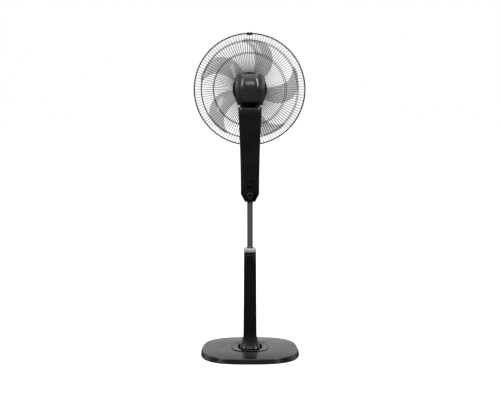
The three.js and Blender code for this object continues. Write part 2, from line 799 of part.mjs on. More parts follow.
// A spur gear outline with straight flanks. The first tooth, or the first gap, points along +X.
function gearShape(teeth, toothFirst) {
  const pitch = (2 * Math.PI) / teeth;
  const radius = pitchRadius(teeth);
  const root = radius - 1.15 * SWING_GEAR.module;
  const tip = radius + 0.8 * SWING_GEAR.module;
  const points = [];
  for (let i = 0; i < teeth; i++) {
    const middle = pitch * (i + (toothFirst ? 0 : 0.5));
    const corners = [
      [root, -0.27],
      [tip, -0.1],
      [tip, 0.1],
      [root, 0.27],
    ];
    for (const [reach, share] of corners) {
      const angle = middle + share * pitch;
      points.push(new THREE.Vector2(reach * Math.cos(angle), reach * Math.sin(angle)));
    }
  }
  return new THREE.Shape(points);
}

function gear(teeth, toothFirst) {
  const settings = { depth: SWING_GEAR.thickness, bevelEnabled: false };
  const geometry = new THREE.ExtrudeGeometry(gearShape(teeth, toothFirst), settings);
  return solid(geometry.translate(0, 0, SWING_GEAR.bottom));
}

function makeSwingMotor(group) {
  const top = SWING_GEAR.bottom - SWING_MOTOR.belowGear;
  const bore = rod(PINION.shaftRadius + SLIP, top - PINION.shaftLength, top + OVERRUN, "z", SIDES.screw);
  const can = cut(rod(SWING_MOTOR.radius, top - SWING_MOTOR.height, top), bore);
  piece(group, "swing_motor", can, looks.steel()).position.set(pinionPlace, 0, 0);
  piece(
    group,
    "swing_bearing",
    lathe([
      [SPINDLE.radius + CLEAR, BEARING_RING.bottom],
      [BEARING_RING.flangeRadius, BEARING_RING.bottom],
      [BEARING_RING.flangeRadius, MAST.top - MAST.wall - CLEAR],
      [BEARING_RING.radius, MAST.top - MAST.wall - CLEAR],
      [BEARING_RING.radius, MAST.top],
      [SPINDLE.radius + CLEAR, MAST.top],
    ]),
    looks.whitePlastic(),
  );
}

function makePinion() {
  const group = groupAt(pinionPlace, 0, 0);
  const shaftBottom = SWING_GEAR.bottom - SWING_MOTOR.belowGear - PINION.shaftLength + CLEAR;
  const shaft = rod(PINION.shaftRadius, shaftBottom, SWING_GEAR.bottom + 1, "z", SIDES.screw);
  piece(group, "drive_pinion", join(gear(PINION.teeth, PINION.teeth % 2 === 1), shaft), looks.whitePlastic());
}

// ---------------------------------------------------------------- neck
const discTop = spindleTop + NECK.discHeight;
const bracketBottom = discTop + CLEAR;

function makeNeck(group) {
  const spindle = rod(SPINDLE.radius, SPINDLE.bottom, spindleTop + 1);
  const outline = [NECK.halfWidth, NECK.halfDepth];
  const disc = loft(
    [
      { at: spindleTop, half: outline },
      { at: discTop, half: outline },
    ],
    NECK.squareness,
  );
  const wireWay = rod(SPINDLE.bore, SPINDLE.bottom - OVERRUN, discTop + OVERRUN, "z", SIDES.screw);
  piece(group, "turntable", cut(join(spindle, disc), wireWay), looks.satinBlack());

  const wheel = cut(gear(SWING_GEAR.teeth, true), rod(SPINDLE.radius + CLEAR, 0, gearTop + OVERRUN));
  piece(group, "swing_gear", wheel, looks.whitePlastic());

  const coverTop = bracketBottom + NECK.coverHeight;
  const shell = loft(
    [
      { at: bracketBottom, half: outline },
      { at: coverTop, half: outline },
    ],
    NECK.squareness,
  );
  const room = box(
    -BRACKET.halfWidth - CLEAR,
    BRACKET.halfWidth + CLEAR,
    -BRACKET.halfDepth - CLEAR,
    BRACKET.halfDepth + CLEAR,
    bracketBottom - OVERRUN,
    coverTop + OVERRUN,
  );
  piece(group, "neck_cover", cut(shell, room), looks.satinBlack());

  const plateTop = bracketBottom + BRACKET.plate;
  const plate = box(
    -BRACKET.halfWidth,
    BRACKET.halfWidth,
    -BRACKET.halfDepth,
    BRACKET.halfDepth,
    bracketBottom,
    plateTop,
  );
  const cheeks = [-1, 1].map((side) => {
    const from = side > 0 ? BRACKET.cheekInside : -BRACKET.cheekInside - BRACKET.cheek;
    const to = from + BRACKET.cheek;
    const eye = rod(BRACKET.cheekRadius, from, to, "x").translate([0, 0, TILT.height]);
    return join(eye, box(from, to, -BRACKET.cheekRadius, BRACKET.cheekRadius, plateTop - 1, TILT.height));
  });
  const reach = BRACKET.cheekInside + BRACKET.cheek + TILT.headThickness + CLEAR;
  const pinHole = rod(TILT.pinRadius + CLEAR, -reach, reach, "x", SIDES.screw).translate([0, 0, TILT.height]);
  const wire = rod(SPINDLE.bore, bracketBottom - OVERRUN, plateTop + OVERRUN, "z", SIDES.screw);
  piece(group, "tilt_bracket", cut(join(plate, ...cheeks), pinHole, wire), looks.steel());

  const headInner = reach - TILT.headThickness;
  const pin = join(
    rod(TILT.pinRadius, -reach, reach, "x", SIDES.screw),
    rod(TILT.headRadius, headInner, reach, "x", SIDES.screw),
    rod(TILT.headRadius, -reach, -headInner, "x", SIDES.screw),
  );
  piece(group, "tilt_pin", pin.translate([0, 0, TILT.height]), looks.steel());
}

// ---------------------------------------------------------------- motor and housing
// Inside the head group the fan's axis is the Y axis, and heights count from it.
const headHeight = (height) => height - AXIS_HEIGHT;
const plateRear = GUARD.rimRear + GUARD.rearDepth;
const frontCoverFront = plateRear + GUARD.wire + CLEAR;

function housingSection(height, shrink) {
  const wide = HOUSING.halfWidth - (height - HOUSING.seam) ** 2 / (2 * HOUSING.sideRadius);
  const above = Math.max(0, height - HOUSING.seam) / HOUSING.domeHeight;
  const dome = HOUSING.rearTop + (HOUSING.rear - HOUSING.rearTop) * Math.sqrt(1 - above ** 2);
  const low = THREE.MathUtils.clamp((height - HOUSING.bottom) / HOUSING.rearBottomHeight, 0, 1);
  const under = THREE.MathUtils.lerp(HOUSING.rearBottom, HOUSING.rear, Math.sqrt(1 - (1 - low) ** 2));
  const rear = height > HOUSING.seam ? dome : under;
  return [wide - shrink, rear - HOUSING.front - shrink];
}

function housingBody(shrink) {
  const bottom = HOUSING.bottom + shrink;
  const top = HOUSING.top - shrink;
  const lower = [0, 0.35, 1].map((share) => bottom + HOUSING.rearBottomHeight * share);
  const upper = [0.5, 0.8].map((share) => THREE.MathUtils.lerp(HOUSING.seam, top, share));
  const heights = [...lower, HOUSING.seam, ...upper, top - HOUSING.edge];
  const levels = heights.map((height) => ({
    at: headHeight(height),
    half: housingSection(height, shrink),
    middle: [0, HOUSING.front],
  }));
  const rim = housingSection(top - HOUSING.edge, shrink).map((half) => half - HOUSING.edge);
  levels.push({ at: headHeight(top), half: rim, middle: [0, HOUSING.front] });
  return loft(levels, HOUSING.squareness);
}

// What lies between the seam and a height. The seam is level at the middle and rises at the sides.
function beyondSeam(far, seam, end) {
  const rise = (far - HOUSING.seamHalfWidth) * HOUSING.seamSlope;
  const corners = [
    [-far, seam + rise],
    [-HOUSING.seamHalfWidth, seam],
    [HOUSING.seamHalfWidth, seam],
    [far, seam + rise],
    [far, end],
    [-far, end],
  ];
  const outline = new THREE.Shape(corners.map(([x, z]) => new THREE.Vector2(x, z)));
  return plateXZ(outline, HOUSING.front, far);
}

function makeHousing(group) {
  const far = HOUSING.rear + OVERRUN;
  const seam = headHeight(HOUSING.seam);
  const neckRoom = box(
    -HOUSING.neckHalfWidth,
    HOUSING.neckHalfWidth,
    -HOUSING.neckHalfDepth,
    HOUSING.neckHalfDepth,
    -far,
    headHeight(HOUSING.bottom) + HOUSING.wall + OVERRUN,
  );
  const shell = cut(housingBody(0), housingBody(HOUSING.wall), neckRoom);
  const upper = beyondSeam(far, seam + CLEAR / 2, far);
  const lower = beyondSeam(far, seam - CLEAR / 2, -far);
  piece(group, "rear_cover_upper", shell.intersect(upper), looks.housing());
  piece(group, "rear_cover_lower", shell.intersect(lower), looks.housing());

  const coverRear = HOUSING.front - CLEAR;
  const section = (at, shrink) => ({
    at,
    half: [FRONT_COVER.halfWidth - shrink, FRONT_COVER.halfHeight - shrink],
    middle: [0, FRONT_COVER.lift],
  });
  const cup = loft(
    [
      section(coverRear, 0),
      section(frontCoverFront + FRONT_COVER.nose, 0),
      section(frontCoverFront + 2, 3),
      section(frontCoverFront, 6),
    ],
    FRONT_COVER.squareness,
    "y",
  );
  const inside = loft(
    [
      section(coverRear + OVERRUN, FRONT_COVER.wall),
      section(frontCoverFront + FRONT_COVER.nose, FRONT_COVER.wall),
      section(frontCoverFront + FRONT_COVER.wall, FRONT_COVER.nose),
    ],
    FRONT_COVER.squareness,
    "y",
  );
  const bossHole = rod(BELL.bossRadius + CLEAR, frontCoverFront - OVERRUN, 0, "y", SIDES.motor);
  const throat = box(
    -HOUSING.neckHalfWidth,
    HOUSING.neckHalfWidth,
    -HOUSING.neckHalfDepth,
    0,
    -far,
    headHeight(HOUSING.bottom) + 16,
  );
  piece(group, "front_cover", cut(cup, inside, bossHole, throat), looks.housing());
}

const nutRear = plateRear - GUARD.plate - CLEAR;
const bossFront = nutRear - GUARD_NUT.thickness + 1;

function makeMotor(group) {
  const stator = ring(STATOR.bore, STATOR.radius, STATOR.front, STATOR.rear, "y", SIDES.motor);
  piece(group, "motor_stator", stator, looks.steel());

  const pocket = BELL.pocketRadius;
  const rearStart = STATOR.rear + CLEAR;
  const rearEnd = rearStart + BELL.rearDepth;
  const bearingFront = rearEnd - 2 - BALL_BEARING.sideGap - BALL_BEARING.width;
  piece(
    group,
    "motor_rear_bell",
    lathe(
      [
        [BELL.radius - BELL.wall, rearStart],
        [BELL.radius, rearStart],
        [BELL.radius, rearEnd - 4],
        [BELL.radius - 4, rearEnd],
        [SHAFT.radius + 1, rearEnd],
        [SHAFT.radius + 1, rearEnd - 2],
        [pocket, rearEnd - 2],
        [pocket, bearingFront],
        [pocket + BELL.wall, bearingFront],
        [pocket + BELL.wall, rearEnd - BELL.wall],
        [BELL.radius - BELL.wall - 2, rearEnd - BELL.wall],
      ],
      "y",
      SIDES.motor,
    ),
    looks.satinMetal(),
  );

  const frontStart = STATOR.front - CLEAR;
  const frontEnd = frontStart - BELL.frontDepth;
  const pocketRear = bossFront + BALL_BEARING.width + 2 * BALL_BEARING.sideGap + 1;
  piece(
    group,
    "motor_front_bell",
    lathe(
      [
        [BELL.radius - BELL.wall, frontStart],
        [BELL.radius, frontStart],
        [BELL.radius, frontEnd],
        [BELL.bossRadius, frontEnd],
        [BELL.bossRadius, bossFront],
        [pocket, bossFront],
        [pocket, pocketRear],
        [SHAFT.radius + 1, pocketRear],
        [SHAFT.radius + 1, frontEnd + BELL.wall],
        [BELL.radius - BELL.wall, frontEnd + BELL.wall],
      ],
      "y",
      SIDES.motor,
    ),
    looks.satinMetal(),
  );

  const race = [SHAFT.radius + CLEAR, pocket - CLEAR];
  const frontBearingRear = pocketRear - BALL_BEARING.sideGap;
  piece(
    group,
    "rear_bearing",
    ring(...race, bearingFront + CLEAR, bearingFront + BALL_BEARING.width, "y", SIDES.motor),
    looks.steel(),
  );
  piece(
    group,
    "front_bearing",
    ring(...race, frontBearingRear - BALL_BEARING.width, frontBearingRear, "y", SIDES.motor),
    looks.steel(),
  );

  const pivot = headHeight(TILT.height);
  const lugHalf = BRACKET.cheekInside - SLIP;
  const eye = rod(TILT.lugRadius, -lugHalf, lugHalf, "x").translate([0, 0, pivot]);
  const saddle = box(-lugHalf, lugHalf, -TILT.lugRadius, STATOR.rear, pivot, 0);
  const seat = rod(BELL.radius + 2 * CLEAR, -BELL.radius, BELL.radius, "y", SIDES.motor);
  const lugBore = rod(TILT.pinRadius + CLEAR, -lugHalf - OVERRUN, lugHalf + OVERRUN, "x", SIDES.screw);
  const arm = cut(join(eye, saddle), seat, lugBore.translate([0, 0, pivot]));
  piece(group, "tilt_lug", arm, looks.satinMetal());

  const canBottom = STATOR.radius + 2;
  piece(
    group,
    "run_capacitor",
    box(
      -CAPACITOR.halfWidth,
      CAPACITOR.halfWidth,
      CAPACITOR.rear - CAPACITOR.length,
      CAPACITOR.rear,
      canBottom,
      canBottom + CAPACITOR.height,
    ),
    looks.whitePlastic(),
  );
}

// ---------------------------------------------------------------- guards
const SPOKE_ROOT = 2; // how far a spoke runs in over its centre plate
const SPOKE_STEPS = 5; // straight stretches in a spoke
const rimFront = GUARD.rimRear - 2 * GUARD.rimWire - CLEAR;

// A point of a guard's dished profile: share 0 is at its centre plate and 1 is at its rim.
function guardPoint(share, centre, depth, rim) {
  const turned = (share * Math.PI) / 2;
  const reach = GUARD.radius - GUARD.spokeInset - centre;
  return {
    radius: centre + reach * Math.sin(turned) ** (2 / GUARD.bulge),
    place: rim + depth * Math.cos(turned) ** (2 / GUARD.fullness),
  };
}

function spokeCurve(angle, centre, depth, rim) {
  const points = steps(6, (t) => guardPoint(t, centre, depth, rim)).map(
    ({ radius, place }) => new THREE.Vector3(radius * Math.cos(angle), place, radius * Math.sin(angle)),
  );
  return new THREE.CatmullRomCurve3(points);
}

// The place along the axis at which a spoke passes a radius, so that a ring there lies on it.
function ringPlace(radius, centre, depth, rim) {
  const line = spokeCurve(0, centre, depth, rim).getSpacedPoints(SPOKE_STEPS);
  const end = line.findIndex((point) => point.x >= radius);
  const [from, to] = [line[end - 1], line[end]];
  return THREE.MathUtils.lerp(from.y, to.y, (radius - from.x) / (to.x - from.x));
}

// A ring has a corner at each spoke, so that the two meet whatever the radius.
function wireRing(radius, wire, place, cornersPerSpoke) {
  const around = GUARD.spokes * cornersPerSpoke;
  const geometry = new THREE.TorusGeometry(radius, wire, 4, around).rotateX(Math.PI / 2);
  return solid(geometry.translate(0, place, 0));
}

function spoke(angle, centre, depth, rim) {
  const section = new THREE.Shape().absarc(0, 0, GUARD.wire, 0, 2 * Math.PI);
  const settings = {
    steps: SPOKE_STEPS,
    curveSegments: 2,
    extrudePath: spokeCurve(angle, centre, depth, rim),
  };
  return solid(new THREE.ExtrudeGeometry(section, settings));
}

const guardRing = (radius, centre, depth, rim) =>
  wireRing(radius, GUARD.ringWire, ringPlace(radius, centre - SPOKE_ROOT, depth, rim), 2);

function guardWires(centre, depth, rim) {
  const spokes = Array.from({ length: GUARD.spokes }, (_, i) =>
    spoke((2 * Math.PI * (i + 0.5)) / GUARD.spokes, centre - SPOKE_ROOT, depth, rim),
  );
  const rings = [GUARD.innerRingShare, GUARD.outerRingShare].map((share) =>
    guardRing(GUARD.radius * share, centre, depth, rim),
  );
  return join(wireRing(GUARD.radius, GUARD.rimWire, rim, 4), ...rings, ...spokes);
}

function makeGuards(group) {
  const rolled = GUARD.rearCentre - 2 * GUARD.rolledEdge;
  const rearPlate = lathe(
    [
      [BELL.bossRadius + CLEAR, plateRear - GUARD.plate],
      [rolled, plateRear - GUARD.plate],
      [rolled + GUARD.rolledEdge, plateRear - GUARD.plate - GUARD.rolledEdge],
      [GUARD.rearCentre, plateRear - GUARD.plate],
      [GUARD.rearCentre, plateRear],
      [BELL.bossRadius + CLEAR, plateRear],
    ],
    "y",
    SIDES.motor,
  );
  const rearWires = guardWires(GUARD.rearCentre, GUARD.rearDepth, GUARD.rimRear);
  piece(group, "rear_guard", join(rearWires, rearPlate), looks.wire());

  const nutOutline = flutedDisc(GUARD_NUT.radius, GUARD_NUT.lobeDepth, GUARD_NUT.lobes);
  const nutFront = nutRear - GUARD_NUT.thickness;
  const nut = plateXZ(nutOutline, nutFront, nutRear);
  const thread = rod(BELL.bossRadius + CLEAR, nutFront - OVERRUN, nutRear + OVERRUN, "y", SIDES.motor);
  piece(group, "guard_nut", cut(nut, thread), looks.satinBlack());

  const plateFront = rimFront - GUARD.frontDepth;
  const halfPlate = GUARD.plate / 2;
  const frontPlate = rod(GUARD.frontCentre, plateFront - halfPlate, plateFront + halfPlate, "y", SIDES.motor);
  const frontWires = guardWires(GUARD.frontCentre, -GUARD.frontDepth, rimFront);
  piece(group, "front_guard", join(frontWires, frontPlate), looks.wire());

  const badgeRear = plateFront - halfPlate - CLEAR;
  piece(
    group,
    "guard_badge",
    lathe(
      [
        [0, badgeRear],
        [BADGE.radius, badgeRear],
        [BADGE.radius, badgeRear - BADGE.thickness],
        [BADGE.radius * 0.7, badgeRear - BADGE.thickness - BADGE.dome * 0.7],
        [0, badgeRear - BADGE.thickness - BADGE.dome],
      ],
      "y",
      SIDES.motor,
    ),
    looks.satinBlack(),
  );
}

function makeClips(group) {
  const rear = GUARD.rimRear + GUARD.rimWire + CLEAR;
  const front = rimFront - GUARD.rimWire - CLEAR;
  const over = GUARD.radius + GUARD.rimWire + CLEAR;
  const grip = GUARD.radius + CLIP.grip;
  for (const [name, side] of [["guard_clip_top", 0], ["guard_clip_bottom", Math.PI]]) {
    const clipTop = over + CLIP.wall;
    const bridge = box(-CLIP.halfWidth, CLIP.halfWidth, front - CLIP.wall, rear + CLIP.wall, over, clipTop);
    const legs = [
      box(-CLIP.halfWidth, CLIP.halfWidth, rear, rear + CLIP.wall, grip, over + 1),
      box(-CLIP.halfWidth, CLIP.halfWidth, front - CLIP.wall, front, grip, over + 1),
    ];
    const screwHole = rod(CLIP_SCREW.radius + CLEAR, over - OVERRUN, clipTop + OVERRUN, "z", SIDES.screw);
    const middle = (rear + front) / 2;
    const hasScrew = name === "guard_clip_bottom";
    const clip = join(bridge, ...legs);
    const made = hasScrew ? cut(clip, screwHole.translate([0, middle, 0])) : clip;
    piece(group, name, made, looks.satinBlack()).rotation.y = side;
    if (hasScrew) {
      const headBottom = clipTop + CLEAR;
      const screw = join(
        rod(CLIP_SCREW.headRadius, headBottom, headBottom + CLIP_SCREW.headHeight, "z", SIDES.screw),
        rod(CLIP_SCREW.radius, headBottom - CLIP_SCREW.reach, headBottom + 1, "z", SIDES.screw),
      );
      piece(group, "clip_screw", screw.translate([0, middle, 0]), looks.steel()).rotation.y = side;
    }
  }
}

// ---------------------------------------------------------------- rotor
// The angles between which a blade lies at a radius, from its trailing edge to its leading edge.
function bladeEdges(radius) {
  const share = Math.max(0, (radius - IMPELLER.hubRadius) / (IMPELLER.tip - IMPELLER.hubRadius));
  const corner = (reach, turned) => {
    const inside = Math.max(0, radius - (IMPELLER.tip - reach)) / reach;
    return turned * (1 - Math.sqrt(1 - Math.min(1, inside) ** 2));
  };
  const low = IMPELLER.lowStart + IMPELLER.lowSweep * share ** IMPELLER.lowPower;
  const high = IMPELLER.highStart + IMPELLER.highSweep * share ** IMPELLER.highPower;
  return [
    low + corner(IMPELLER.tipCornerLow, IMPELLER.tipCornerLowDegrees),
    high - corner(IMPELLER.tipCornerHigh, IMPELLER.tipCornerHighDegrees),
  ];
}

// A flat grid is bent into the blade: its long side becomes the radius and its other side the chord.
function blade(turned) {
  const root = IMPELLER.hubRadius - IMPELLER.hubWall / 2;
  const geometry = new THREE.BoxGeometry(1, 1, 1, 8, 4, 1);
  const position = geometry.attributes.position;
  for (let i = 0; i < position.count; i++) {
    const outward = Math.sin(((position.getX(i) + 0.5) * Math.PI) / 2);
    const radius = root + (IMPELLER.tip - root) * outward;
    const chord = position.getY(i) * 2;
    const [low, high] = bladeEdges(radius);
    const angle = degrees(turned + THREE.MathUtils.lerp(low, high, position.getY(i) + 0.5));
    const lift = (IMPELLER.bladeRise / 2) * chord + IMPELLER.bladeCamber * (1 - chord ** 2);
    const place = IMPELLER.bladeMiddle + lift + position.getZ(i) * IMPELLER.bladeThickness;
    position.setXYZ(i, -radius * Math.cos(angle), place, radius * Math.sin(angle));
  }
  return solid(geometry);
}

function makeRotor(group) {
  piece(
    group,
    "rotor_core",
    ring(SHAFT.radius + CLEAR, ROTOR_CORE.radius, ROTOR_CORE.front, ROTOR_CORE.rear, "y", SIDES.motor),
    looks.steel(),
  );
  piece(group, "motor_shaft", rod(SHAFT.radius, SHAFT.front, SHAFT.rear, "y", SIDES.motor), looks.steel());

  const { hubRadius, hubRear, hubFront, hubWall, hubEdge, bossRadius, bossLength } = IMPELLER;
  const bore = SHAFT.radius + CLEAR;
  const hub = lathe(
    [
      [bore, hubFront],
      [hubRadius - hubEdge, hubFront],
      [hubRadius - hubEdge * 0.3, hubFront + hubEdge * 0.3],
      [hubRadius, hubFront + hubEdge],
      [hubRadius, hubRear],
      [hubRadius - hubWall, hubRear],
      [hubRadius - hubWall, hubFront + hubEdge],
      [hubRadius - hubEdge, hubFront + hubWall],
      [bossRadius, hubFront + hubWall],
      [bossRadius, hubFront + bossLength],
      [bore, hubFront + bossLength],
    ],
    "y",
    SIDES.motor,
  );
  const inside = rod(hubRadius - hubWall, hubFront + hubEdge, hubRear + OVERRUN, "y", SIDES.motor);
  const blades = Array.from({ length: IMPELLER.blades }, (_, i) =>
    cut(blade(IMPELLER.firstBlade + (360 * i) / IMPELLER.blades), inside),
  );
  piece(group, "impeller", join(hub, ...blades), looks.smoke());

  const nutRearFace = hubFront - CLEAR;
  const nut = lathe(
    [
      [0, nutRearFace],
      [SPINNER.radius, nutRearFace],
      [SPINNER.radius, nutRearFace - SPINNER.length * 0.5],
      [SPINNER.radius * 0.75, nutRearFace - SPINNER.length * 0.85],
      [0, nutRearFace - SPINNER.length],
    ],
    "y",
  );
  const thread = rod(bore, SHAFT.front - CLEAR, nutRearFace + OVERRUN, "y", SIDES.motor);
  piece(group, "spinner_nut", cut(nut, thread), looks.satinBlack());
}

// ---------------------------------------------------------------- assembly
makeBase();
makeColumn();
makeHeightButton();

const mast = groupAt(0, 0, 0);
makePole(mast);
makeMast(mast);
makePanel(mast);
makeSwingMotor(mast);
makeKeys();
makeClampKnob();
makePinion();

makeNeck(groupAt(0, 0, 0));

const head = groupAt(0, 0, AXIS_HEIGHT);
makeHousing(head);
makeMotor(head);
makeGuards(head);
makeClips(head);
makeRotor(groupAt(0, 0, AXIS_HEIGHT));

export default fan;
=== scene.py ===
"""Pedestal fan: the visible mouldings, wires and finishes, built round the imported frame."""

import json
import math

import bmesh
import bpy
from bpy.props import FloatProperty, FloatVectorProperty, IntProperty, PointerProperty
from mathutils import Matrix, Vector


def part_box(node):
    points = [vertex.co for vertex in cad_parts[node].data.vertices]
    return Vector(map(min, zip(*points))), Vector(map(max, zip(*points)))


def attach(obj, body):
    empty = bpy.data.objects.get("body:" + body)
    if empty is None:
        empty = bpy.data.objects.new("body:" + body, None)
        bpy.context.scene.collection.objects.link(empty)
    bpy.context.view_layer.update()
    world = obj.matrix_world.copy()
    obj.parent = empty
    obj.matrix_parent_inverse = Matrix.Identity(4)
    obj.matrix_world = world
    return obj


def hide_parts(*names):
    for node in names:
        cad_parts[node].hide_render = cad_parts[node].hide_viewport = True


bl_info = {
    "name": "Pedestal Fan",
    "version": (1, 0, 0),
    "blender": (4, 5, 0),
    "location": "3D View > Sidebar > Fan",
    "description": "Builds the mouldings, guards, blades and finishes of a pedestal fan",
    "category": "Add Mesh",
}

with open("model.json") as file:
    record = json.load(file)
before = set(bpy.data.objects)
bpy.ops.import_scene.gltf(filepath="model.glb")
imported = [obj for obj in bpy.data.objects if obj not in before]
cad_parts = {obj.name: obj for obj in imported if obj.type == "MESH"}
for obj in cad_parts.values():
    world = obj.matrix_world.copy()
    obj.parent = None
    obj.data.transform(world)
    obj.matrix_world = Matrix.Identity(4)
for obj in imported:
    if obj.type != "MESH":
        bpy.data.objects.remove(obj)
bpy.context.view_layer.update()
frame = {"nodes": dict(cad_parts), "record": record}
MM = 0.001
GAP = 0.3 * MM
BOSS = 18.3 * MM  # radius of the hole that the motor's boss fills
X, Y, Z = Vector((1, 0, 0)), Vector((0, 1, 0)), Vector((0, 0, 1))


# ---------------------------------------------------------------- sizes and colours
def linear(code):
    """An sRGB hex colour as linear red, green, blue and 1."""
    values = [int(code[i : i + 2], 16) / 255 for i in (1, 3, 5)]
    return (*[v / 12.92 if v <= 0.04045 else ((v + 0.055) / 1.055) ** 2.4 for v in values], 1.0)


def length(name, description, millimetres):
    return FloatProperty(name=name, description=description, default=millimetres * MM, unit="LENGTH")


def ratio(name, description, value):
    return FloatProperty(name=name, description=description, default=value)


def colour(name, description, code):
    return FloatVectorProperty(
        name=name, description=description, subtype="COLOR", size=4, default=linear(code), min=0, max=1
    )


class FanBaseSizes(bpy.types.PropertyGroup):
    squareness: ratio("Squareness", "2 is an ellipse, more is squarer", 2.9)
    edge_height: length("Edge height", "Height of the rim where the side turns into the top", 20.5)
    side_inset: length("Side inset", "How far the side leans in", 6)
    wall: length("Wall", "Thickness of the moulding", 2.5)
    dish_half_width: length("Dish half width", "Half the width of the dish round the column", 71)
    dish_half_depth: length("Dish half depth", "Half the depth of the dish round the column", 83)
    dish_floor: length("Dish floor", "Height of the dish's floor", 16)
    hole: length("Hole", "Radius of the hole for the column's foot", 33.4)


class FanColumnSizes(bpy.types.PropertyGroup):
    squareness: ratio("Squareness", "2 is an ellipse, more is squarer", 3.2)
    wall: length("Wall", "Thickness of the moulding", 2.2)
    half_top: length("Half width at the top", "Half the width under the collar", 24.2)
    half_low: length("Half width low down", "Half the width where the flare starts", 26.8)
    half_depth_low: length("Half depth low down", "Half the depth where the flare starts", 26.4)
    flare_top: length("Flare top", "Height at which the flare starts", 80)
    flare_out: length("Flare", "How far the foot flares out", 13.5)
    flare_run: length("Flare run", "Height over which it flares by that much", 54.3)
    bevel_run: length("Collar bevel run", "How far the collar's bevel goes in", 2)
    bevel_height: length("Collar bevel height", "Height of the collar's bevel", 2.5)


class FanMastSizes(bpy.types.PropertyGroup):
    squareness: ratio("Squareness", "2 is an ellipse, more is squarer", 3.5)
    wall: length("Wall", "Thickness of the moulding", 2.5)
    half_foot: length("Half width of the foot", "Half the width at the very bottom", 20.1)
    half_low: length("Half width low down", "Half the width above the chamfer", 36.6)
    half_top: length("Half width at the top", "Half the width at the top", 47)
    depth_foot: length("Half depth of the foot", "Half the depth at the very bottom", 22.4)
    depth_low: length("Half depth low down", "Half the depth above the chamfer", 26.4)
    depth_top: length("Half depth at the top", "Half the depth at the top", 29.4)
    chamfer: length("Chamfer", "Height of the chamfered foot", 31)
    taper: ratio("Taper", "Power of the curve of its sides", 2)
    notch: length("Notch half width", "Half the width of the recess round the knob", 16.6)
    pocket: length("Pocket half width", "Half the width of the two pockets", 14.5)


class FanHeadSizes(bpy.types.PropertyGroup):
    squareness: ratio("Squareness", "2 is an ellipse, more is squarer", 3)
    half_width: length("Half width", "Half the housing's greatest width", 59.2)
    side_radius: length("Side radius", "Radius of the curve of its sides", 185)
    rear: length("Rear", "How far the housing reaches behind the column's axis", 72)
    rear_top: length("Rear at the top", "How far its top reaches back", 34)
    rear_bottom: length("Rear at the bottom", "How far its underside reaches back", 34)
    under: length("Underside", "Height over which the underside curves up", 14)
    front: length("Front", "Where it meets the front cover", -14)
    dome: length("Dome", "Height of the dome above the seam", 64)
    edge: length("Top edge", "Rounding of the top edge", 3)
    wall: length("Wall", "Thickness of the moulding", 2.5)
    seam_half: length("Level seam", "Half the width of the seam's level part", 43)
    seam_slope: ratio("Seam slope", "How steeply the seam rises at both sides", 0.8)


class FanGuardSizes(bpy.types.PropertyGroup):
    wires: IntProperty(name="Wires", description="Radial wires in each guard", default=120)
    wire: length("Wire", "Radius of a radial wire", 0.8)
    ring: length("Ring wire", "Radius of the ring wires", 1.15)
    rim: length("Rim wire", "Radius of the rim wire", 2.5)
    inner: length("Inner ring", "Radius of the inner ring", 146)
    outer: length("Outer ring", "Radius of the outer ring", 195)
    centre: length("Rear centre", "Radius at which the rear wires end", 66.5)
    front_centre: length("Front centre", "Radius at which the front wires end", 50)
    bulge: ratio("Bulge", "How round the guards are outwards", 2.4)
    fullness: ratio("Fullness", "How full the guards are in depth", 1.5)


class FanBladeSizes(bpy.types.PropertyGroup):
    blades: IntProperty(name="Blades", description="How many blades", default=5)
    hub: length("Hub", "Radius of the hub", 62)
    tip: length("Tip", "Radius of the blade tips", 200)
    thickness: length("Thickness", "Thickness of a blade", 2.0)
    rise: length("Rise", "How far a blade reaches along the axis", 36)
    camber: length("Camber", "How far a blade bows", 4)
    first: ratio("First blade", "Where the first blade stands, in degrees", 58.4)
    low_start: ratio("Low edge at the hub", "Where the low edge leaves the hub, in degrees", -19.9)
    low_sweep: ratio("Low edge sweep", "How far it sweeps up to the tip, in degrees", 31.9)
    high_start: ratio("High edge at the hub", "Where the high edge leaves the hub, in degrees", 19.9)
    high_sweep: ratio("High edge sweep", "How far it sweeps up to the tip, in degrees", 24)


class FanColours(bpy.types.PropertyGroup):
    satin: colour("Satin black", "Mast, column and knobs", "#161617")
    base: colour("Base black", "Base moulding", "#101011")
    housing: colour("Housing black", "Motor housing", "#2b2b2c")
    smoke: colour("Smoke", "Translucent blades", "#58595b")
    chrome: colour("Dark chrome", "Pole", "#8c8d8f")
    anodised: colour("Anodised", "Collar", "#b6b7b8")
    wire: colour("Wire black", "Guards", "#0c0c0d")


GROUPS = {
    "fan_base": FanBaseSizes,
    "fan_column": FanColumnSizes,
    "fan_mast": FanMastSizes,
    "fan_head": FanHeadSizes,
    "fan_guard": FanGuardSizes,
    "fan_blade": FanBladeSizes,
    "fan_colours": FanColours,
}


# ---------------------------------------------------------------- shaping
def superellipse(value, squareness):
    return math.copysign(abs(value) ** (2 / squareness), value)


def loft(levels, squareness, segments=96, axis="Z", middle=(0, 0), open_start=False, open_end=False):
    """Square-round loops, one for each (place, half, other half[, squareness]), bridged in turn."""
    bm = bmesh.new()
    loops = []
    for level in levels:
        at, first, second = level[:3]
        square = level[3] if len(level) > 3 else squareness
        verts = bmesh.ops.create_circle(bm, cap_ends=False, radius=1, segments=segments)["verts"]
        for v in verts:
            turn = math.atan2(v.co.y, v.co.x)
            a = middle[0] + first * superellipse(math.cos(turn), square)
            b = middle[1] + second * superellipse(math.sin(turn), square)
            v.co = (a, b, at) if axis == "Z" else (a, at, b)
        loops.append(list({edge for v in verts for edge in v.link_edges}))
    for lower, upper in zip(loops, loops[1:]):
        bmesh.ops.bridge_loops(bm, edges=lower + upper)
    for loop, is_open in ((loops[0], open_start), (loops[-1], open_end)):
        if not is_open:
            bmesh.ops.contextual_create(bm, geom=loop)
    bmesh.ops.recalc_face_normals(bm, faces=bm.faces)
    return bm


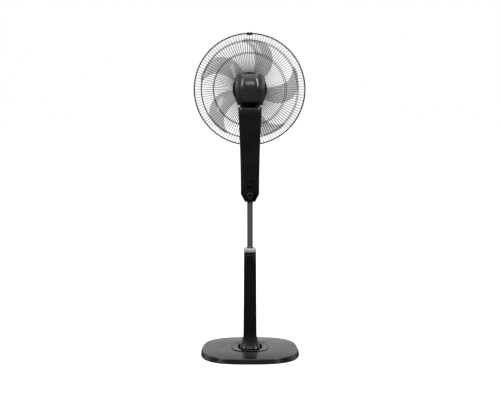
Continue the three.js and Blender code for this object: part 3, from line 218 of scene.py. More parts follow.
def lathe(profile, axis=Z, centre=(0, 0, 0), segments=96, closed=False):
    """A turned piece: the profile is [radius, place along the axis]."""
    bm = bmesh.new()
    verts = [bm.verts.new(Vector(centre) + X * radius + axis * place) for radius, place in profile]
    pairs = list(zip(verts, verts[1:])) + ([(verts[-1], verts[0])] if closed else [])
    edges = [bm.edges.new(pair) for pair in pairs]
    bmesh.ops.spin(
        bm, geom=verts + edges, cent=centre, axis=axis, angle=2 * math.pi, steps=segments, use_merge=True
    )
    bmesh.ops.remove_doubles(bm, verts=bm.verts, dist=1e-6)
    bmesh.ops.recalc_face_normals(bm, faces=bm.faces)
    return bm


def block(low, high):
    bm = bmesh.new()
    bmesh.ops.create_cube(bm, size=1)
    low, high = Vector(low), Vector(high)
    bmesh.ops.scale(bm, vec=high - low, verts=bm.verts)
    bmesh.ops.translate(bm, vec=(low + high) / 2, verts=bm.verts)
    return bm


def plate(half_width, low, high, rear, front, corner, segments=6):
    """A slab facing along Y with rounded corners."""
    bm = block((-half_width, front, low), (half_width, rear, high))
    upright = [e for e in bm.edges if abs((e.verts[0].co - e.verts[1].co).normalized().y) > 0.9]
    bmesh.ops.bevel(
        bm, geom=upright, offset=corner, affect="EDGES", segments=segments, profile=0.5, material=-1
    )
    return bm


def soften(bm, offset, segments=3, sharper=40):
    """Rounds every edge that is sharper than an angle."""
    bm.normal_update()
    edges = [e for e in bm.edges if len(e.link_faces) == 2 and e.calc_face_angle() > math.radians(sharper)]
    bmesh.ops.bevel(
        bm,
        geom=edges,
        offset=offset,
        affect="EDGES",
        segments=segments,
        profile=0.5,
        material=-1,
        clamp_overlap=True,
    )
    return bm


def thicken(bm, wall):
    """Gives an open skin its wall, inwards."""
    bmesh.ops.solidify(bm, geom=bm.faces[:], thickness=wall)
    bmesh.ops.recalc_face_normals(bm, faces=bm.faces)
    return bm


def keep_side(bm, point, direction):
    """Drops what lies on the side that the direction points to."""
    everything = bm.verts[:] + bm.edges[:] + bm.faces[:]
    bmesh.ops.bisect_plane(bm, geom=everything, plane_co=point, plane_no=direction, clear_outer=True)
    return bm


def loose_object(bm, name):
    mesh = bpy.data.meshes.new(name)
    bm.to_mesh(mesh)
    bm.free()
    made = bpy.data.objects.new(name, mesh)
    bpy.context.scene.collection.objects.link(made)
    return made


def carve(bm, *cutters):
    """Cuts the cutters out of a closed body."""
    host = loose_object(bm, "host")
    tools = [loose_object(cutter, "cutter") for cutter in cutters]
    for tool in tools:
        change = host.modifiers.new("cut", "BOOLEAN")
        change.operation = "DIFFERENCE"
        change.solver = "EXACT"
        change.object = tool
    bpy.context.view_layer.update()
    evaluated = host.evaluated_get(bpy.context.evaluated_depsgraph_get())
    result = bmesh.new()
    result.from_mesh(evaluated.to_mesh())
    for gone in [host, *tools]:
        mesh = gone.data
        bpy.data.objects.remove(gone)
        bpy.data.meshes.remove(mesh)
    if not result.faces:
        raise RuntimeError("a cut left nothing of a piece")
    return result


def merged(*parts):
    """Several bodies in one mesh."""
    total = bmesh.new()
    for part in parts:
        mesh = bpy.data.meshes.new("part")
        part.to_mesh(mesh)
        part.free()
        total.from_mesh(mesh)
        bpy.data.meshes.remove(mesh)
    return total


SLOT_OF = {row["node"]: row["material_slot"] for row in frame["record"]["subparts"]}
BODY_OF = {
    node: body for body, nodes in frame["record"]["behaviour"]["bodies"].items() for node in nodes
}


def piece(bm, node, ending="moulding", sharp=32):
    """The finished piece: it stands for a node, and takes its body and its slot from it."""
    made = loose_object(bm, f"{node}_{ending}")
    made.data.shade_smooth()
    made.data.set_sharp_from_angle(angle=math.radians(sharp))
    made.data.materials.append(material_for(SLOT_OF[node]))
    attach(made, BODY_OF[node])
    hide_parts(node)
    return made


def sizes(name):
    return getattr(bpy.context.scene, name)


def axis_height():
    low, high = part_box("motor_stator")
    return (low.z + high.z) / 2


# ---------------------------------------------------------------- finishes
def add(tree, kind, settings=None, **links):
    """Adds a node with its settings, and links the sockets named to it."""
    made = tree.nodes.new(kind)
    for key, value in (settings or {}).items():
        if key in made.inputs:
            made.inputs[key].default_value = value
        else:
            setattr(made, key, value)
    for key, source in links.items():
        tree.links.new(source, made.inputs[key.replace("_", " ")])
    return made


def ramp(tree, source, start, end, low, high):
    """Maps a value's span from start to end onto the span from low to high."""
    spans = {"From Min": start, "From Max": end, "To Min": low, "To Max": high}
    return add(tree, "ShaderNodeMapRange", spans, Value=source).outputs["Result"]


def combined(tree, operation, first, second):
    made = add(tree, "ShaderNodeMath", {"operation": operation})
    tree.links.new(first, made.inputs[0])
    tree.links.new(second, made.inputs[1])
    return made.outputs["Value"]


def surfaced(name, tint, roughness, grain_mm, bump, metallic=0.0, uneven=0.06, **extra):
    """A finish: its colour, a roughness that wanders, and a relief of a real grain size."""
    made = bpy.data.materials.new(name)
    made.use_nodes = True
    tree = made.node_tree
    shader = tree.nodes["Principled BSDF"]
    shader.inputs["Metallic"].default_value = metallic
    for key, value in extra.items():
        shader.inputs[key.replace("_", " ")].default_value = value
    place = add(tree, "ShaderNodeTexCoord")
    grain = add(
        tree,
        "ShaderNodeTexNoise",
        {"Scale": 1 / (grain_mm * MM), "Detail": 3.0},
        Vector=place.outputs["Object"],
    )
    patches = add(
        tree, "ShaderNodeTexNoise", {"Scale": 14.0, "Detail": 4.0}, Vector=place.outputs["Object"]
    )
    wander = ramp(tree, patches.outputs["Fac"], 0.3, 0.7, roughness - uneven, roughness + uneven)
    shade = ramp(tree, patches.outputs["Fac"], 0.3, 0.7, 0.9, 1.08)
    tone = add(tree, "ShaderNodeVectorMath", {"operation": "SCALE"}, Scale=shade)
    tone.inputs[0].default_value = tint[:3]
    relief = add(
        tree,
        "ShaderNodeBump",
        {"Strength": bump, "Distance": grain_mm * MM * 0.2},
        Height=grain.outputs["Fac"],
    )
    tree.links.new(tone.outputs["Vector"], shader.inputs["Base Color"])
    tree.links.new(wander, shader.inputs["Roughness"])
    tree.links.new(relief.outputs["Normal"], shader.inputs["Normal"])
    return made


def material_for(slot):
    """The finish of a slot. The frame's own plain materials have the slots' names, so this one differs."""
    name = f"{slot}_finish"
    if name in bpy.data.materials:
        return bpy.data.materials[name]
    tint = sizes("fan_colours")
    makers = {
        # Moulded ABS with a fine spark-eroded grain: deep black, a soft sheen.
        "satin_black": lambda: surfaced(name, tint.satin, 0.27, 0.8, 0.08),
        # The same ABS polished a little more, so it picks up the room at a low angle.
        "base_black": lambda: surfaced(name, tint.base, 0.25, 1.0, 0.04, uneven=0.04),
        "housing_black": lambda: surfaced(name, tint.housing, 0.24, 0.8, 0.08),
        # Polished ABS: a wet-looking black with hardly any grain.
        "panel_gloss": lambda: surfaced(name, linear("#060607"), 0.08, 2.0, 0.02, uneven=0.03),
        # Smoked AS, clear and dark: light comes through, and both faces shine.
        "smoked_blade": lambda: surfaced(
            name, tint.smoke, 0.2, 3.0, 0.02, uneven=0.04, Alpha=0.34, IOR=1.57
        ),
        # Dark chrome plate over a drawn tube: mirror-like with faint cloudiness.
        "pole_chrome": lambda: surfaced(name, tint.chrome, 0.2, 1.2, 0.02, 0.6, uneven=0.04),
        # Blasted and anodised aluminium: pale, soft and even.
        "collar_metal": lambda: surfaced(name, tint.anodised, 0.45, 0.5, 0.15, 0.3),
        "steel": lambda: surfaced(name, linear("#a3a4a6"), 0.38, 0.7, 0.15, 1.0),
        "die_cast": lambda: surfaced(name, linear("#b4b4b3"), 0.5, 1.2, 0.4, 1.0),
        "ballast_iron": lambda: surfaced(name, linear("#4a4b4c"), 0.7, 1.6, 0.8, 1.0),
        "rubber": lambda: surfaced(name, linear("#171718"), 0.85, 0.9, 0.3),
        "natural_plastic": lambda: surfaced(name, linear("#dbd6c9"), 0.45, 0.9, 0.1),
        # Epoxy powder coat on steel wire: black with the slight dimple of the melt.
        "guard_wire": lambda: surfaced(name, tint.wire, 0.32, 0.9, 0.15),
        "circuit_board": lambda: surfaced(name, linear("#1f5a34"), 0.4, 0.6, 0.2),
        "display_tint": lambda: surfaced(name, linear("#08090b"), 0.06, 3.0, 0.01, uneven=0.02),
    }
    if slot not in makers:
        raise RuntimeError(f"no finish is written for the slot {slot}")
    return makers[slot]()


# ---------------------------------------------------------------- pieces
class FAN_OT_base(bpy.types.Operator):
    """The base moulding with the dish round the column's foot, and its rubber feet"""

    bl_idname = "fan.base"
    bl_label = "Base"

    def execute(self, context):
        s = sizes("fan_base")
        low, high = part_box("base_cover")
        half, top = high.x, high.z
        edge = half - s.side_inset
        levels = [
            (low.z, half - 1.5 * MM, half - 1.5 * MM),
            (low.z + 0.6 * MM, half - 0.5 * MM, half - 0.5 * MM),
            (low.z + 2 * MM, half, half),
            (low.z + 5 * MM, half - 0.7 * MM, half - 0.7 * MM),
        ]
        corner = 4 * MM
        for i in range(7):
            turn = math.pi / 2 * i / 6
            at = s.edge_height - corner * (1 - math.sin(turn))
            size = edge - corner * (1 - math.cos(turn))
            levels.append((at, size, size))
        inner = s.dish_half_depth + 12 * MM
        for i in range(1, 11):
            share = i / 10
            size = edge - corner + (inner - edge + corner) * share
            rise = s.edge_height + (top - s.edge_height) * math.sin(share * math.pi / 2)
            levels.append((rise, size, size))
        # the dish: a rounded lip, a sloping wall and a flat floor
        dish = [(0, 3), (0.15, 1.5), (0.8, 0), (3, -2.5), (6, -6.5), (8.2, -9.5), (9, -12.5), (9, -16)]
        for down, run in dish:
            levels.append((top - down * MM, s.dish_half_width + run * MM, s.dish_half_depth + run * MM))
        levels.append((s.dish_floor, s.hole, s.hole, 2))
        bm = loft(levels, s.squareness, 160, open_start=True, open_end=True)
        piece(thicken(bm, s.wall), "base_cover")
        for i in range(4):
            self.foot(f"foot_pad_{i + 1}")
        low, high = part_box("bolt_cover")
        radius = high.x
        inside = radius - 2 * MM
        profile = [(0, 0), (radius - 1 * MM, 0), (radius, 1 * MM), (radius, high.z)]
        profile += [(inside, high.z), (inside, 1.2 * MM), (0, 1.2 * MM)]
        piece(lathe(profile), "bolt_cover")
        return {"FINISHED"}

    def foot(self, node):
        low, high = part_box(node)
        centre = ((low.x + high.x) / 2, (low.y + high.y) / 2, 0)
        radius = (high.x - low.x) / 2
        rings = [(0, 0.6 * MM), (radius * 0.5, 0.6 * MM), (radius * 0.56, 0), (radius - 1.2 * MM, 0)]
        rings += [(radius, 1.2 * MM), (radius, high.z), (0, high.z)]
        piece(lathe(rings, Z, centre, 64), node)


class FAN_OT_column(bpy.types.Operator):
    """The flared column, its collar and bush, and the height button at its rear"""

    bl_idname = "fan.column"
    bl_label = "Column"

    def execute(self, context):
        s = sizes("fan_column")
        low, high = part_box("column_cover")
        button_low, button_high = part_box("height_button")

        def half(at, top, bottom):
            share = max(0, (at - s.flare_top) / (high.z - s.flare_top))
            flare = s.flare_out * (max(0, s.flare_top - at) / s.flare_run) ** 1.8
            return bottom + (top - bottom) * share + flare

        heights = [low.z + (s.flare_top - low.z) * i / 16 for i in range(16)]
        heights += [s.flare_top + (high.z - 1.2 * MM - s.flare_top) * i / 6 for i in range(7)]
        levels = [
            (at, half(at, s.half_top, s.half_low), half(at, s.half_top, s.half_depth_low)) for at in heights
        ]
        levels.append((high.z - 0.35 * MM, s.half_top - 0.3 * MM, s.half_top - 0.3 * MM))
        levels.append((high.z, s.half_top - 1.1 * MM, s.half_top - 1.1 * MM))
        skin = thicken(loft(levels, s.squareness, 96, open_start=True, open_end=True), s.wall)
        width = button_high.x + GAP
        window = plate(width, button_low.z - GAP, button_high.z + GAP, 40 * MM, 13 * MM, 5 * MM)
        piece(carve(skin, window), "column_cover")

        button = plate(
            button_high.x, button_low.z, button_high.z, button_high.y, button_low.y, 4.5 * MM, 8
        )
        button = soften(button, 1.6 * MM, 4, 60)
        piece(button, "height_button")

        low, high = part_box("collar")
        rim = high.x
        edge = rim - s.bevel_run
        bevel = high.z - s.bevel_height
        rows = [
            (low.z, rim - 0.8 * MM),
            (low.z + 0.8 * MM, rim),
            (low.z + 3.6 * MM, rim),
            (low.z + 4.0 * MM, rim - 0.5 * MM),
            (low.z + 4.6 * MM, rim - 0.5 * MM),
            (low.z + 5.0 * MM, rim),
            (bevel - 0.6 * MM, rim),
            (bevel, rim - 0.3 * MM),
            (high.z - 0.6 * MM, edge + 0.5 * MM),
            (high.z, edge),
        ]
        body = loft([(at, size, size) for at, size in rows], s.squareness, 96)
        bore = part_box("guide_bush")[1].x + GAP
        start, end = low.z - 5 * MM, high.z + 5 * MM
        hole = lathe([(0, start), (bore, start), (bore, end), (0, end)])
        piece(carve(body, hole), "collar")

        low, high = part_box("guide_bush")
        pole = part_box("pole")[1].x + 0.4 * MM
        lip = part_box("collar")[1].z + GAP
        profile = [
            (pole, low.z),
            (high.x, low.z),
            (high.x, lip),
            (pole + 3.2 * MM, lip + 1.2 * MM),
            (pole + 2.2 * MM, high.z),
            (pole, high.z),
        ]
        piece(lathe(profile, closed=True), "guide_bush")
        return {"FINISHED"}


class FAN_OT_pole(bpy.types.Operator):
    """The plated telescopic pole"""

    bl_idname = "fan.pole"
    bl_label = "Pole"

    def execute(self, context):
        low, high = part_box("pole")
        radius, wall = high.x, 1.2 * MM
        profile = [
            (radius - wall, low.z),
            (radius - 0.3 * MM, low.z),
            (radius, low.z + 0.3 * MM),
            (radius, high.z - 0.3 * MM),
            (radius - 0.3 * MM, high.z),
            (radius - wall, high.z),
        ]
        piece(lathe(profile, closed=True), "pole", "tube")
        return {"FINISHED"}


class FAN_OT_mast(bpy.types.Operator):
    """The two mast shells with the knob's recess and the two pockets, the knob and the inlet"""

    bl_idname = "fan.mast"
    bl_label = "Mast"

    def skin(self):
        s = sizes("fan_mast")
        low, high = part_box("mast_rear_shell")
        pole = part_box("pole")[1].x + 0.4 * MM
        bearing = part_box("swing_bearing")[1].x - 2 * MM
        chamfer = low.z + s.chamfer
        levels = [
            (low.z, pole, pole, 2),
            (low.z, s.half_foot - 1.5 * MM, s.depth_foot - 1.5 * MM),
            (low.z + 0.5 * MM, s.half_foot - 0.5 * MM, s.depth_foot - 0.5 * MM),
            (low.z + 1.6 * MM, s.half_foot + 0.7 * MM, s.depth_foot),
            (chamfer - 1.5 * MM, s.half_low - 0.9 * MM, s.depth_low - 0.3 * MM),
            (chamfer - 0.4 * MM, s.half_low - 0.2 * MM, s.depth_low - 0.1 * MM),
        ]
        for i in range(17):
            share = i / 16
            at = chamfer + (high.z - 1.5 * MM - chamfer) * share
            depth = s.depth_low + (s.depth_top - s.depth_low) * share
            levels.append((at, s.half_low + (s.half_top - s.half_low) * share**s.taper, depth))
        levels += [
            (high.z - 0.45 * MM, s.half_top - 0.45 * MM, s.depth_top - 0.45 * MM),
            (high.z, s.half_top - 1.5 * MM, s.depth_top - 1.5 * MM),
            (high.z, bearing, bearing, 2),
        ]
        return loft(levels, s.squareness, 96, open_start=True, open_end=True)

    def execute(self, context):
        s = sizes("fan_mast")
        far = 80 * MM
        knob_low, knob_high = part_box("clamp_knob")
        knob = (knob_low.z + knob_high.z) / 2
        inlet_low, inlet_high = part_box("cord_inlet")
        rear = thicken(keep_side(self.skin(), (0, GAP / 2, 0), -Y), s.wall)
        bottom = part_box("mast_rear_shell")[0].z
        around = lathe([(0, GAP), (s.notch, GAP), (s.notch, far), (0, far)], Y, (0, 0, knob), 64)
        below = block((-s.notch, GAP, bottom - 5 * MM), (s.notch, far, knob))
        lower = inlet_low.z + 2 * MM
        upper = inlet_high.z - 2 * MM
        rib_low, rib_high = lower + 16.5 * MM, upper - 15 * MM
        pockets = [
            plate(s.pocket, start, end, far, 15 * MM, 3 * MM)
            for start, end in ((lower, rib_low), (rib_high, upper))
        ]
        piece(carve(rear, around, below, *pockets), "mast_rear_shell")

        front = thicken(keep_side(self.skin(), (0, -GAP / 2, 0), Y), s.wall)
        panel_low, panel_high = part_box("control_panel")
        opening = plate(
            panel_high.x + GAP, panel_low.z - GAP, panel_high.z + GAP, -14 * MM, -far, 6.3 * MM
        )
        piece(carve(front, opening), "mast_front_shell")
        self.knob(knob_low, knob_high, knob)
        self.inlet(inlet_low, inlet_high, lower + 8.25 * MM)
        return {"FINISHED"}

    def knob(self, low, high, height):
        """A fluted knob with a rounded face, a raised ring and a hollow middle."""
        radius, flutes = high.x, 16
        thick = high.y - low.y
        bm = lathe(
            [
                (3.4 * MM, 0),
                (radius - 1 * MM, 0),
                (radius, 1 * MM),
                (radius, thick - 2.5 * MM),
                (radius - 0.8 * MM, thick - 0.8 * MM),
                (radius - 2.8 * MM, thick),
                (radius - 4.4 * MM, thick - 0.4 * MM),
                (radius - 5.4 * MM, thick - 2 * MM),
                (0, thick - 2.8 * MM),
                (0, 3.8 * MM),
                (3.4 * MM, 3.8 * MM),
            ],
            Y,
            (0, low.y, height),
            flutes * 8,
            True,
        )
        for v in bm.verts:
            out = Vector((v.co.x, 0, v.co.z - height))
            if out.length < radius - 1.2 * MM:
                continue
            wave = (1 - math.cos(flutes * math.atan2(out.z, out.x))) / 2
            v.co -= out.normalized() * 0.8 * MM * wave
        piece(bm, "clamp_knob")

    def inlet(self, low, high, middle):
        """The socket for a detachable lead: a rounded opening with two contact pins."""
        body = block(low, high)
        opening = plate(8 * MM, middle - 4 * MM, middle + 4 * MM, high.y + 5 * MM, high.y - 4 * MM, 3.9 * MM)
        pins = [
            lathe([(0, 0), (1.2 * MM, 0), (1.2 * MM, 3 * MM), (0.8 * MM, 3.4 * MM), (0, 3.4 * MM)],
                  Y, (side * 4.3 * MM, high.y - 4 * MM, middle), 24)
            for side in (-1, 1)
        ]
        piece(merged(carve(body, opening), *pins), "cord_inlet")


class FAN_OT_panel(bpy.types.Operator):
    """The control panel on the front of the mast, with its display and five keys"""

    bl_idname = "fan.panel"
    bl_label = "Control panel"

    def execute(self, context):
        low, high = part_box("control_panel")
        holes = []
        keys = [n for n in frame["nodes"] if n.endswith("_button") and n != "height_button"]
        for key in keys:
            key_low, key_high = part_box(key)
            centre = (0, 0, (key_low.z + key_high.z) / 2)
            holes.append(lathe([(0, -0.1), (6.4 * MM, -0.1), (6.4 * MM, 0), (0, 0)], Y, centre, 48))
        window_low, window_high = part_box("display_window")
        holes.append(
            plate(window_high.x + GAP, window_low.z - GAP, window_high.z + GAP, 0, -0.1, 3.3 * MM)
        )
        body = soften(plate(high.x, low.z, high.z, high.y, low.y, 6 * MM, 8), 0.5 * MM, 2, 60)
        piece(carve(body, *holes), "control_panel")
        glass = plate(window_high.x, window_low.z, window_high.z, window_high.y, window_low.y, 3 * MM)
        piece(soften(glass, 0.3 * MM, 2, 60), "display_window", "lens")
        for key in keys:
            self.key(key)
        return {"FINISHED"}

    def key(self, node):
        low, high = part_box(node)
        centre = (0, low.y, (low.z + high.z) / 2)
        depth = high.y - low.y
        profile = [
            (0, 0.5 * MM),
            (3 * MM, 0.35 * MM),
            (4.8 * MM, 0),
            (5.6 * MM, 0.25 * MM),
            (6 * MM, 0.9 * MM),
            (6 * MM, 4.1 * MM),
            (high.x, 4.1 * MM),
            (high.x, 5.6 * MM),
            (2 * MM, 5.6 * MM),
            (2 * MM, depth),
            (0, depth),
        ]
        piece(lathe(profile, Y, centre, 48), node)


class FAN_OT_neck(bpy.types.Operator):
    """The turntable and the cover of the tilt bracket"""

    bl_idname = "fan.neck"
    bl_label = "Neck"

    def execute(self, context):
        low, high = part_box("neck_cover")
        width, depth = high.x, high.y
        rows = [
            (low.z, width - 0.6 * MM, depth - 0.6 * MM),
            (low.z + 0.6 * MM, width, depth),
            (high.z - 1.6 * MM, width - 0.4 * MM, depth - 0.4 * MM),
            (high.z - 0.5 * MM, width - 1.2 * MM, depth - 1.2 * MM),
            (high.z, width - 2.4 * MM, depth - 2.4 * MM),
        ]
        wide, deep = 25 * MM + GAP, 14 * MM + GAP
        room = block((-wide, -deep, low.z - 0.01), (wide, deep, high.z + 0.01))
        piece(carve(loft(rows, 2.2, 96), room), "neck_cover")

        low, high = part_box("turntable")
        start = high.z - 3 * MM
        disc = [
            (start, width - 1.2 * MM, depth - 1.2 * MM),
            (start + 0.8 * MM, width, depth),
            (high.z - 0.5 * MM, width, depth),
            (high.z, width - 0.5 * MM, depth - 0.5 * MM),
        ]
        spindle = lathe(
            [(6 * MM, low.z), (11 * MM, low.z), (11 * MM, start - 0.05 * MM), (6 * MM, start - 0.05 * MM)],
            closed=True,
        )
        bore = lathe([(0, start - 0.01), (6 * MM, start - 0.01), (6 * MM, high.z + 0.01), (0, high.z + 0.01)])
        piece(merged(carve(loft(disc, 2.2, 96), bore), spindle), "turntable")
        return {"FINISHED"}


class FAN_OT_housing(bpy.types.Operator):
    """The domed motor housing in two halves, and the boxier front cover"""

    bl_idname = "fan.housing"
    bl_label = "Motor housing"

    def section(self, at, seam, bottom):
        s = sizes("fan_head")
        wide = s.half_width - (at - seam) ** 2 / (2 * s.side_radius)
        above = min(1, max(0, at - seam) / s.dome)
        dome = s.rear_top + (s.rear - s.rear_top) * math.sqrt(1 - above**2)
        low = min(1, max(0, (at - bottom) / s.under))
        under = s.rear_bottom + (s.rear - s.rear_bottom) * math.sin(low * math.pi / 2)
        return wide, (dome if at > seam else under) - s.front

    def beyond_seam(self, seam, side):
        """All that lies above or below the seam, which is level at the middle and rises at the sides."""
        s = sizes("fan_head")
        far = 90 * MM
        rise = (far - s.seam_half) * s.seam_slope
        corners = [(-far, seam + rise), (-s.seam_half, seam), (s.seam_half, seam), (far, seam + rise)]
        corners += [(far, seam + side * 0.2), (-far, seam + side * 0.2)]
        bm = bmesh.new()
        face = bm.faces.new([bm.verts.new((x, -far, z)) for x, z in corners])
        grown = bmesh.ops.extrude_face_region(bm, geom=[face])["geom"]
        moved = [v for v in grown if isinstance(v, bmesh.types.BMVert)]
        bmesh.ops.translate(bm, vec=(0, 2 * far, 0), verts=moved)
        bmesh.ops.recalc_face_normals(bm, faces=bm.faces)
        return bm

    def skin(self, seam, bottom, top):
        s = sizes("fan_head")
        levels = []
        for i in range(11):
            at = bottom + s.under * (1 - math.cos(math.pi / 2 * i / 10))
            levels.append((at, *self.section(at, seam, bottom)))
        for i in range(1, 7):
            at = bottom + s.under + (seam - bottom - s.under) * i / 6
            levels.append((at, *self.section(at, seam, bottom)))
        for i in range(1, 15):
            at = seam + (top - s.edge - seam) * math.sin(math.pi / 2 * i / 14)
            levels.append((at, *self.section(at, seam, bottom)))
        wide, deep = self.section(top - s.edge, seam, bottom)
        for i in range(1, 6):
            turn = math.pi / 2 * i / 5
            inset = s.edge * (1 - math.cos(turn))
            levels.append((top - s.edge + s.edge * math.sin(turn), wide - inset, deep - inset))
        return loft(levels, s.squareness, 128, middle=(0, s.front), open_start=True)

    def execute(self, context):
        s = sizes("fan_head")
        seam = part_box("rear_cover_upper")[0].z - GAP / 2
        bottom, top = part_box("rear_cover_lower")[0].z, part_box("rear_cover_upper")[1].z
        for node, side in (("rear_cover_upper", -1), ("rear_cover_lower", 1)):
            half = keep_side(self.skin(seam, bottom, top), (0, s.front, 0), -Y)
            piece(carve(thicken(half, s.wall), self.beyond_seam(seam - side * 0.35 * MM, side)), node)

        low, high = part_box("front_cover")
        wide, tall = high.x, (high.z - low.z) / 2
        middle = (0, high.z - tall)
        rows = [(high.y, 0), (high.y - 1 * MM, 0), (low.y + 8 * MM, 0)]
        rows += [
            (low.y + 8 * MM * (1 - math.sin(t)), 8 * MM * (1 - math.cos(t)))
            for t in [math.pi / 2 * i / 6 for i in range(1, 7)]
        ]
        levels = [(at, wide - inset, tall - inset) for at, inset in rows]
        levels.append((low.y, BOSS, BOSS, 2))
        cup = thicken(loft(levels, 6, 128, "Y", middle, open_start=True, open_end=True), s.wall)
        throat = block((-43 * MM, -36 * MM, 0.9), (43 * MM, 0.01, bottom + 16 * MM))
        piece(carve(cup, throat), "front_cover")
        return {"FINISHED"}


class FAN_OT_guards(bpy.types.Operator):
    """Both wire guards, their clips, the nut that holds the rear one and the badge on the front one"""

    bl_idname = "fan.guards"
    bl_label = "Guards"

    def profile(self, share, centre, depth, rim):
        s = sizes("fan_guard")
        reach = self.radius - 1.5 * MM - centre
        turn = share * math.pi / 2
        out = centre + reach * math.sin(turn) ** (2 / s.bulge)
        along = rim + depth * max(0, math.cos(turn)) ** (2 / s.fullness)
        return out, along

    def ring(self, radius, wire, place, segments=160):
        turns = [2 * math.pi * i / 8 for i in range(8)]
        section = [(radius + wire * math.cos(t), place + wire * math.sin(t)) for t in turns]
        return lathe(section, Y, self.middle, segments, closed=True)

    def spokes(self, centre, depth, rim):
        """One wire is drawn along the dished profile, then copied round the axis."""
        s = sizes("fan_guard")
        steps = 12
        path = [Vector((*self.profile(i / steps, centre, depth, rim), 0)) for i in range(steps + 1)]
        bm = bmesh.new()
        loops = []
        for i, point in enumerate(path):
            ahead = (path[min(i + 1, steps)] - path[max(i - 1, 0)]).normalized()
            verts = bmesh.ops.create_circle(bm, cap_ends=False, radius=s.wire, segments=5)["verts"]
            matrix = Matrix.Translation(point) @ Z.rotation_difference(ahead).to_matrix().to_4x4()
            bmesh.ops.transform(bm, matrix=matrix, verts=verts)
            loops.append(list({e for v in verts for e in v.link_edges}))
        for a, b in zip(loops, loops[1:]):
            bmesh.ops.bridge_loops(bm, edges=a + b)
        for end in (loops[0], loops[-1]):
            bmesh.ops.contextual_create(bm, geom=end)
        bmesh.ops.recalc_face_normals(bm, faces=bm.faces)
        bmesh.ops.translate(bm, vec=self.middle, verts=bm.verts)
        bmesh.ops.spin(
            bm,
            geom=bm.verts[:] + bm.edges[:] + bm.faces[:],
            cent=self.middle,
            axis=Y,
            angle=2 * math.pi * (s.wires - 1) / s.wires,
            steps=s.wires - 1,
            use_duplicate=True,
        )
        return bm

    def wires(self, centre, depth, rim):
        s = sizes("fan_guard")
        parts = [self.spokes(centre, depth, rim), self.ring(self.radius, s.rim, rim)]
        for radius in (s.inner, s.outer):
            share = (radius - centre) / (self.radius - 1.5 * MM - centre)
            place = rim + depth * (1 - share**s.bulge) ** (1 / s.fullness)
            parts.append(self.ring(radius, s.ring, place + math.copysign(s.wire, depth)))
        return parts

    def execute(self, context):
        s = sizes("fan_guard")
        self.middle = Vector((0, 0, axis_height()))
        low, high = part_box("rear_guard")
        self.radius = high.x - s.rim
        rim_rear, depth = low.y + s.rim, high.y - low.y - s.rim
        # the middle of the rear guard: a pressed plate whose rolled edge takes the ends of the wires
        parts = self.wires(s.centre, depth, rim_rear)
        parts.append(self.ring(s.centre, 2.1 * MM, high.y - 2.2 * MM))
        plate_rear, plate_front = high.y - 1.2 * MM, high.y - 2.6 * MM
        profile = [(BOSS, plate_front), (s.centre, plate_front), (s.centre, plate_rear), (BOSS, plate_rear)]
        parts.append(lathe(profile, Y, self.middle, closed=True))
        piece(merged(*parts), "rear_guard", "wires", 50)

        low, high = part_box("front_guard")
        rim_front, depth = high.y - s.rim, low.y - high.y + s.rim
        parts = self.wires(s.front_centre, depth + 1 * MM, rim_front)
        front, rear = low.y, low.y + 2 * MM
        profile = [(0, front), (s.front_centre, front), (s.front_centre, rear), (0, rear)]
        parts.append(lathe(profile, Y, self.middle))
        piece(merged(*parts), "front_guard", "wires", 50)
        self.badge()
        self.nut()
        for node in ("guard_clip_top", "guard_clip_bottom"):
            self.clip(node)
        return {"FINISHED"}

    def badge(self):
        low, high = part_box("guard_badge")
        radius, depth = high.x, high.y - low.y
        points = [(0, low.y), (radius * 0.45, low.y + depth * 0.07), (radius * 0.8, low.y + depth * 0.25)]
        points += [(radius * 0.86, low.y + depth * 0.36), (radius * 0.89, low.y + depth * 0.3)]
        points += [(radius * 0.97, low.y + depth * 0.45), (radius, low.y + depth * 0.65)]
        points += [(radius, high.y), (0, high.y)]
        piece(lathe(points, Y, self.middle), "guard_badge")

    def nut(self):
        low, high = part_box("guard_nut")
        radius, thick = high.x, high.y - low.y
        profile = [(BOSS, 0), (radius - 1 * MM, 0), (radius, 1 * MM), (radius, thick - 1 * MM)]
        profile += [(radius - 1 * MM, thick), (BOSS, thick)]
        bm = lathe(profile, Y, self.middle + Y * low.y, 128, True)
        for v in bm.verts:
            out = Vector((v.co.x, 0, v.co.z - self.middle.z))
            if out.length > radius - 2 * MM:
                v.co -= out.normalized() * MM * (1 - math.cos(8 * math.atan2(out.z, out.x)))
        piece(bm, "guard_nut")

    def clip(self, node):
        """A channel-shaped clip: a thin bridge over both rims, and legs that hang inwards."""
        low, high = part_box(node)
        s = sizes("fan_guard")
        up = 1 if low.z > self.middle.z else -1
        half, wall, hang = 10.5 * MM, 2.4 * MM, 4 * MM
        outer = self.radius + s.rim + 1.6 * MM
        inner = self.radius - s.rim - hang
        body = block((-half, low.y, inner), (half, high.y, outer))
        room = block((-0.1, low.y + wall, 0), (0.1, high.y - wall, self.radius + s.rim + 0.3 * MM))
        body = carve(body, room)
        bmesh.ops.subdivide_edges(
            body, edges=[e for e in body.edges if abs((e.verts[0].co - e.verts[1].co).x) > half], cuts=6
        )
        for v in body.verts:
            v.co.z -= self.radius - math.sqrt(self.radius**2 - v.co.x**2)
        body = soften(body, 0.7 * MM, 3, 50)
        if up < 0:
            bmesh.ops.rotate(body, cent=(0, 0, 0), matrix=Matrix.Rotation(math.pi, 3, "Y"), verts=body.verts)
        bmesh.ops.translate(body, vec=(0, 0, self.middle.z), verts=body.verts)
        piece(body, node)


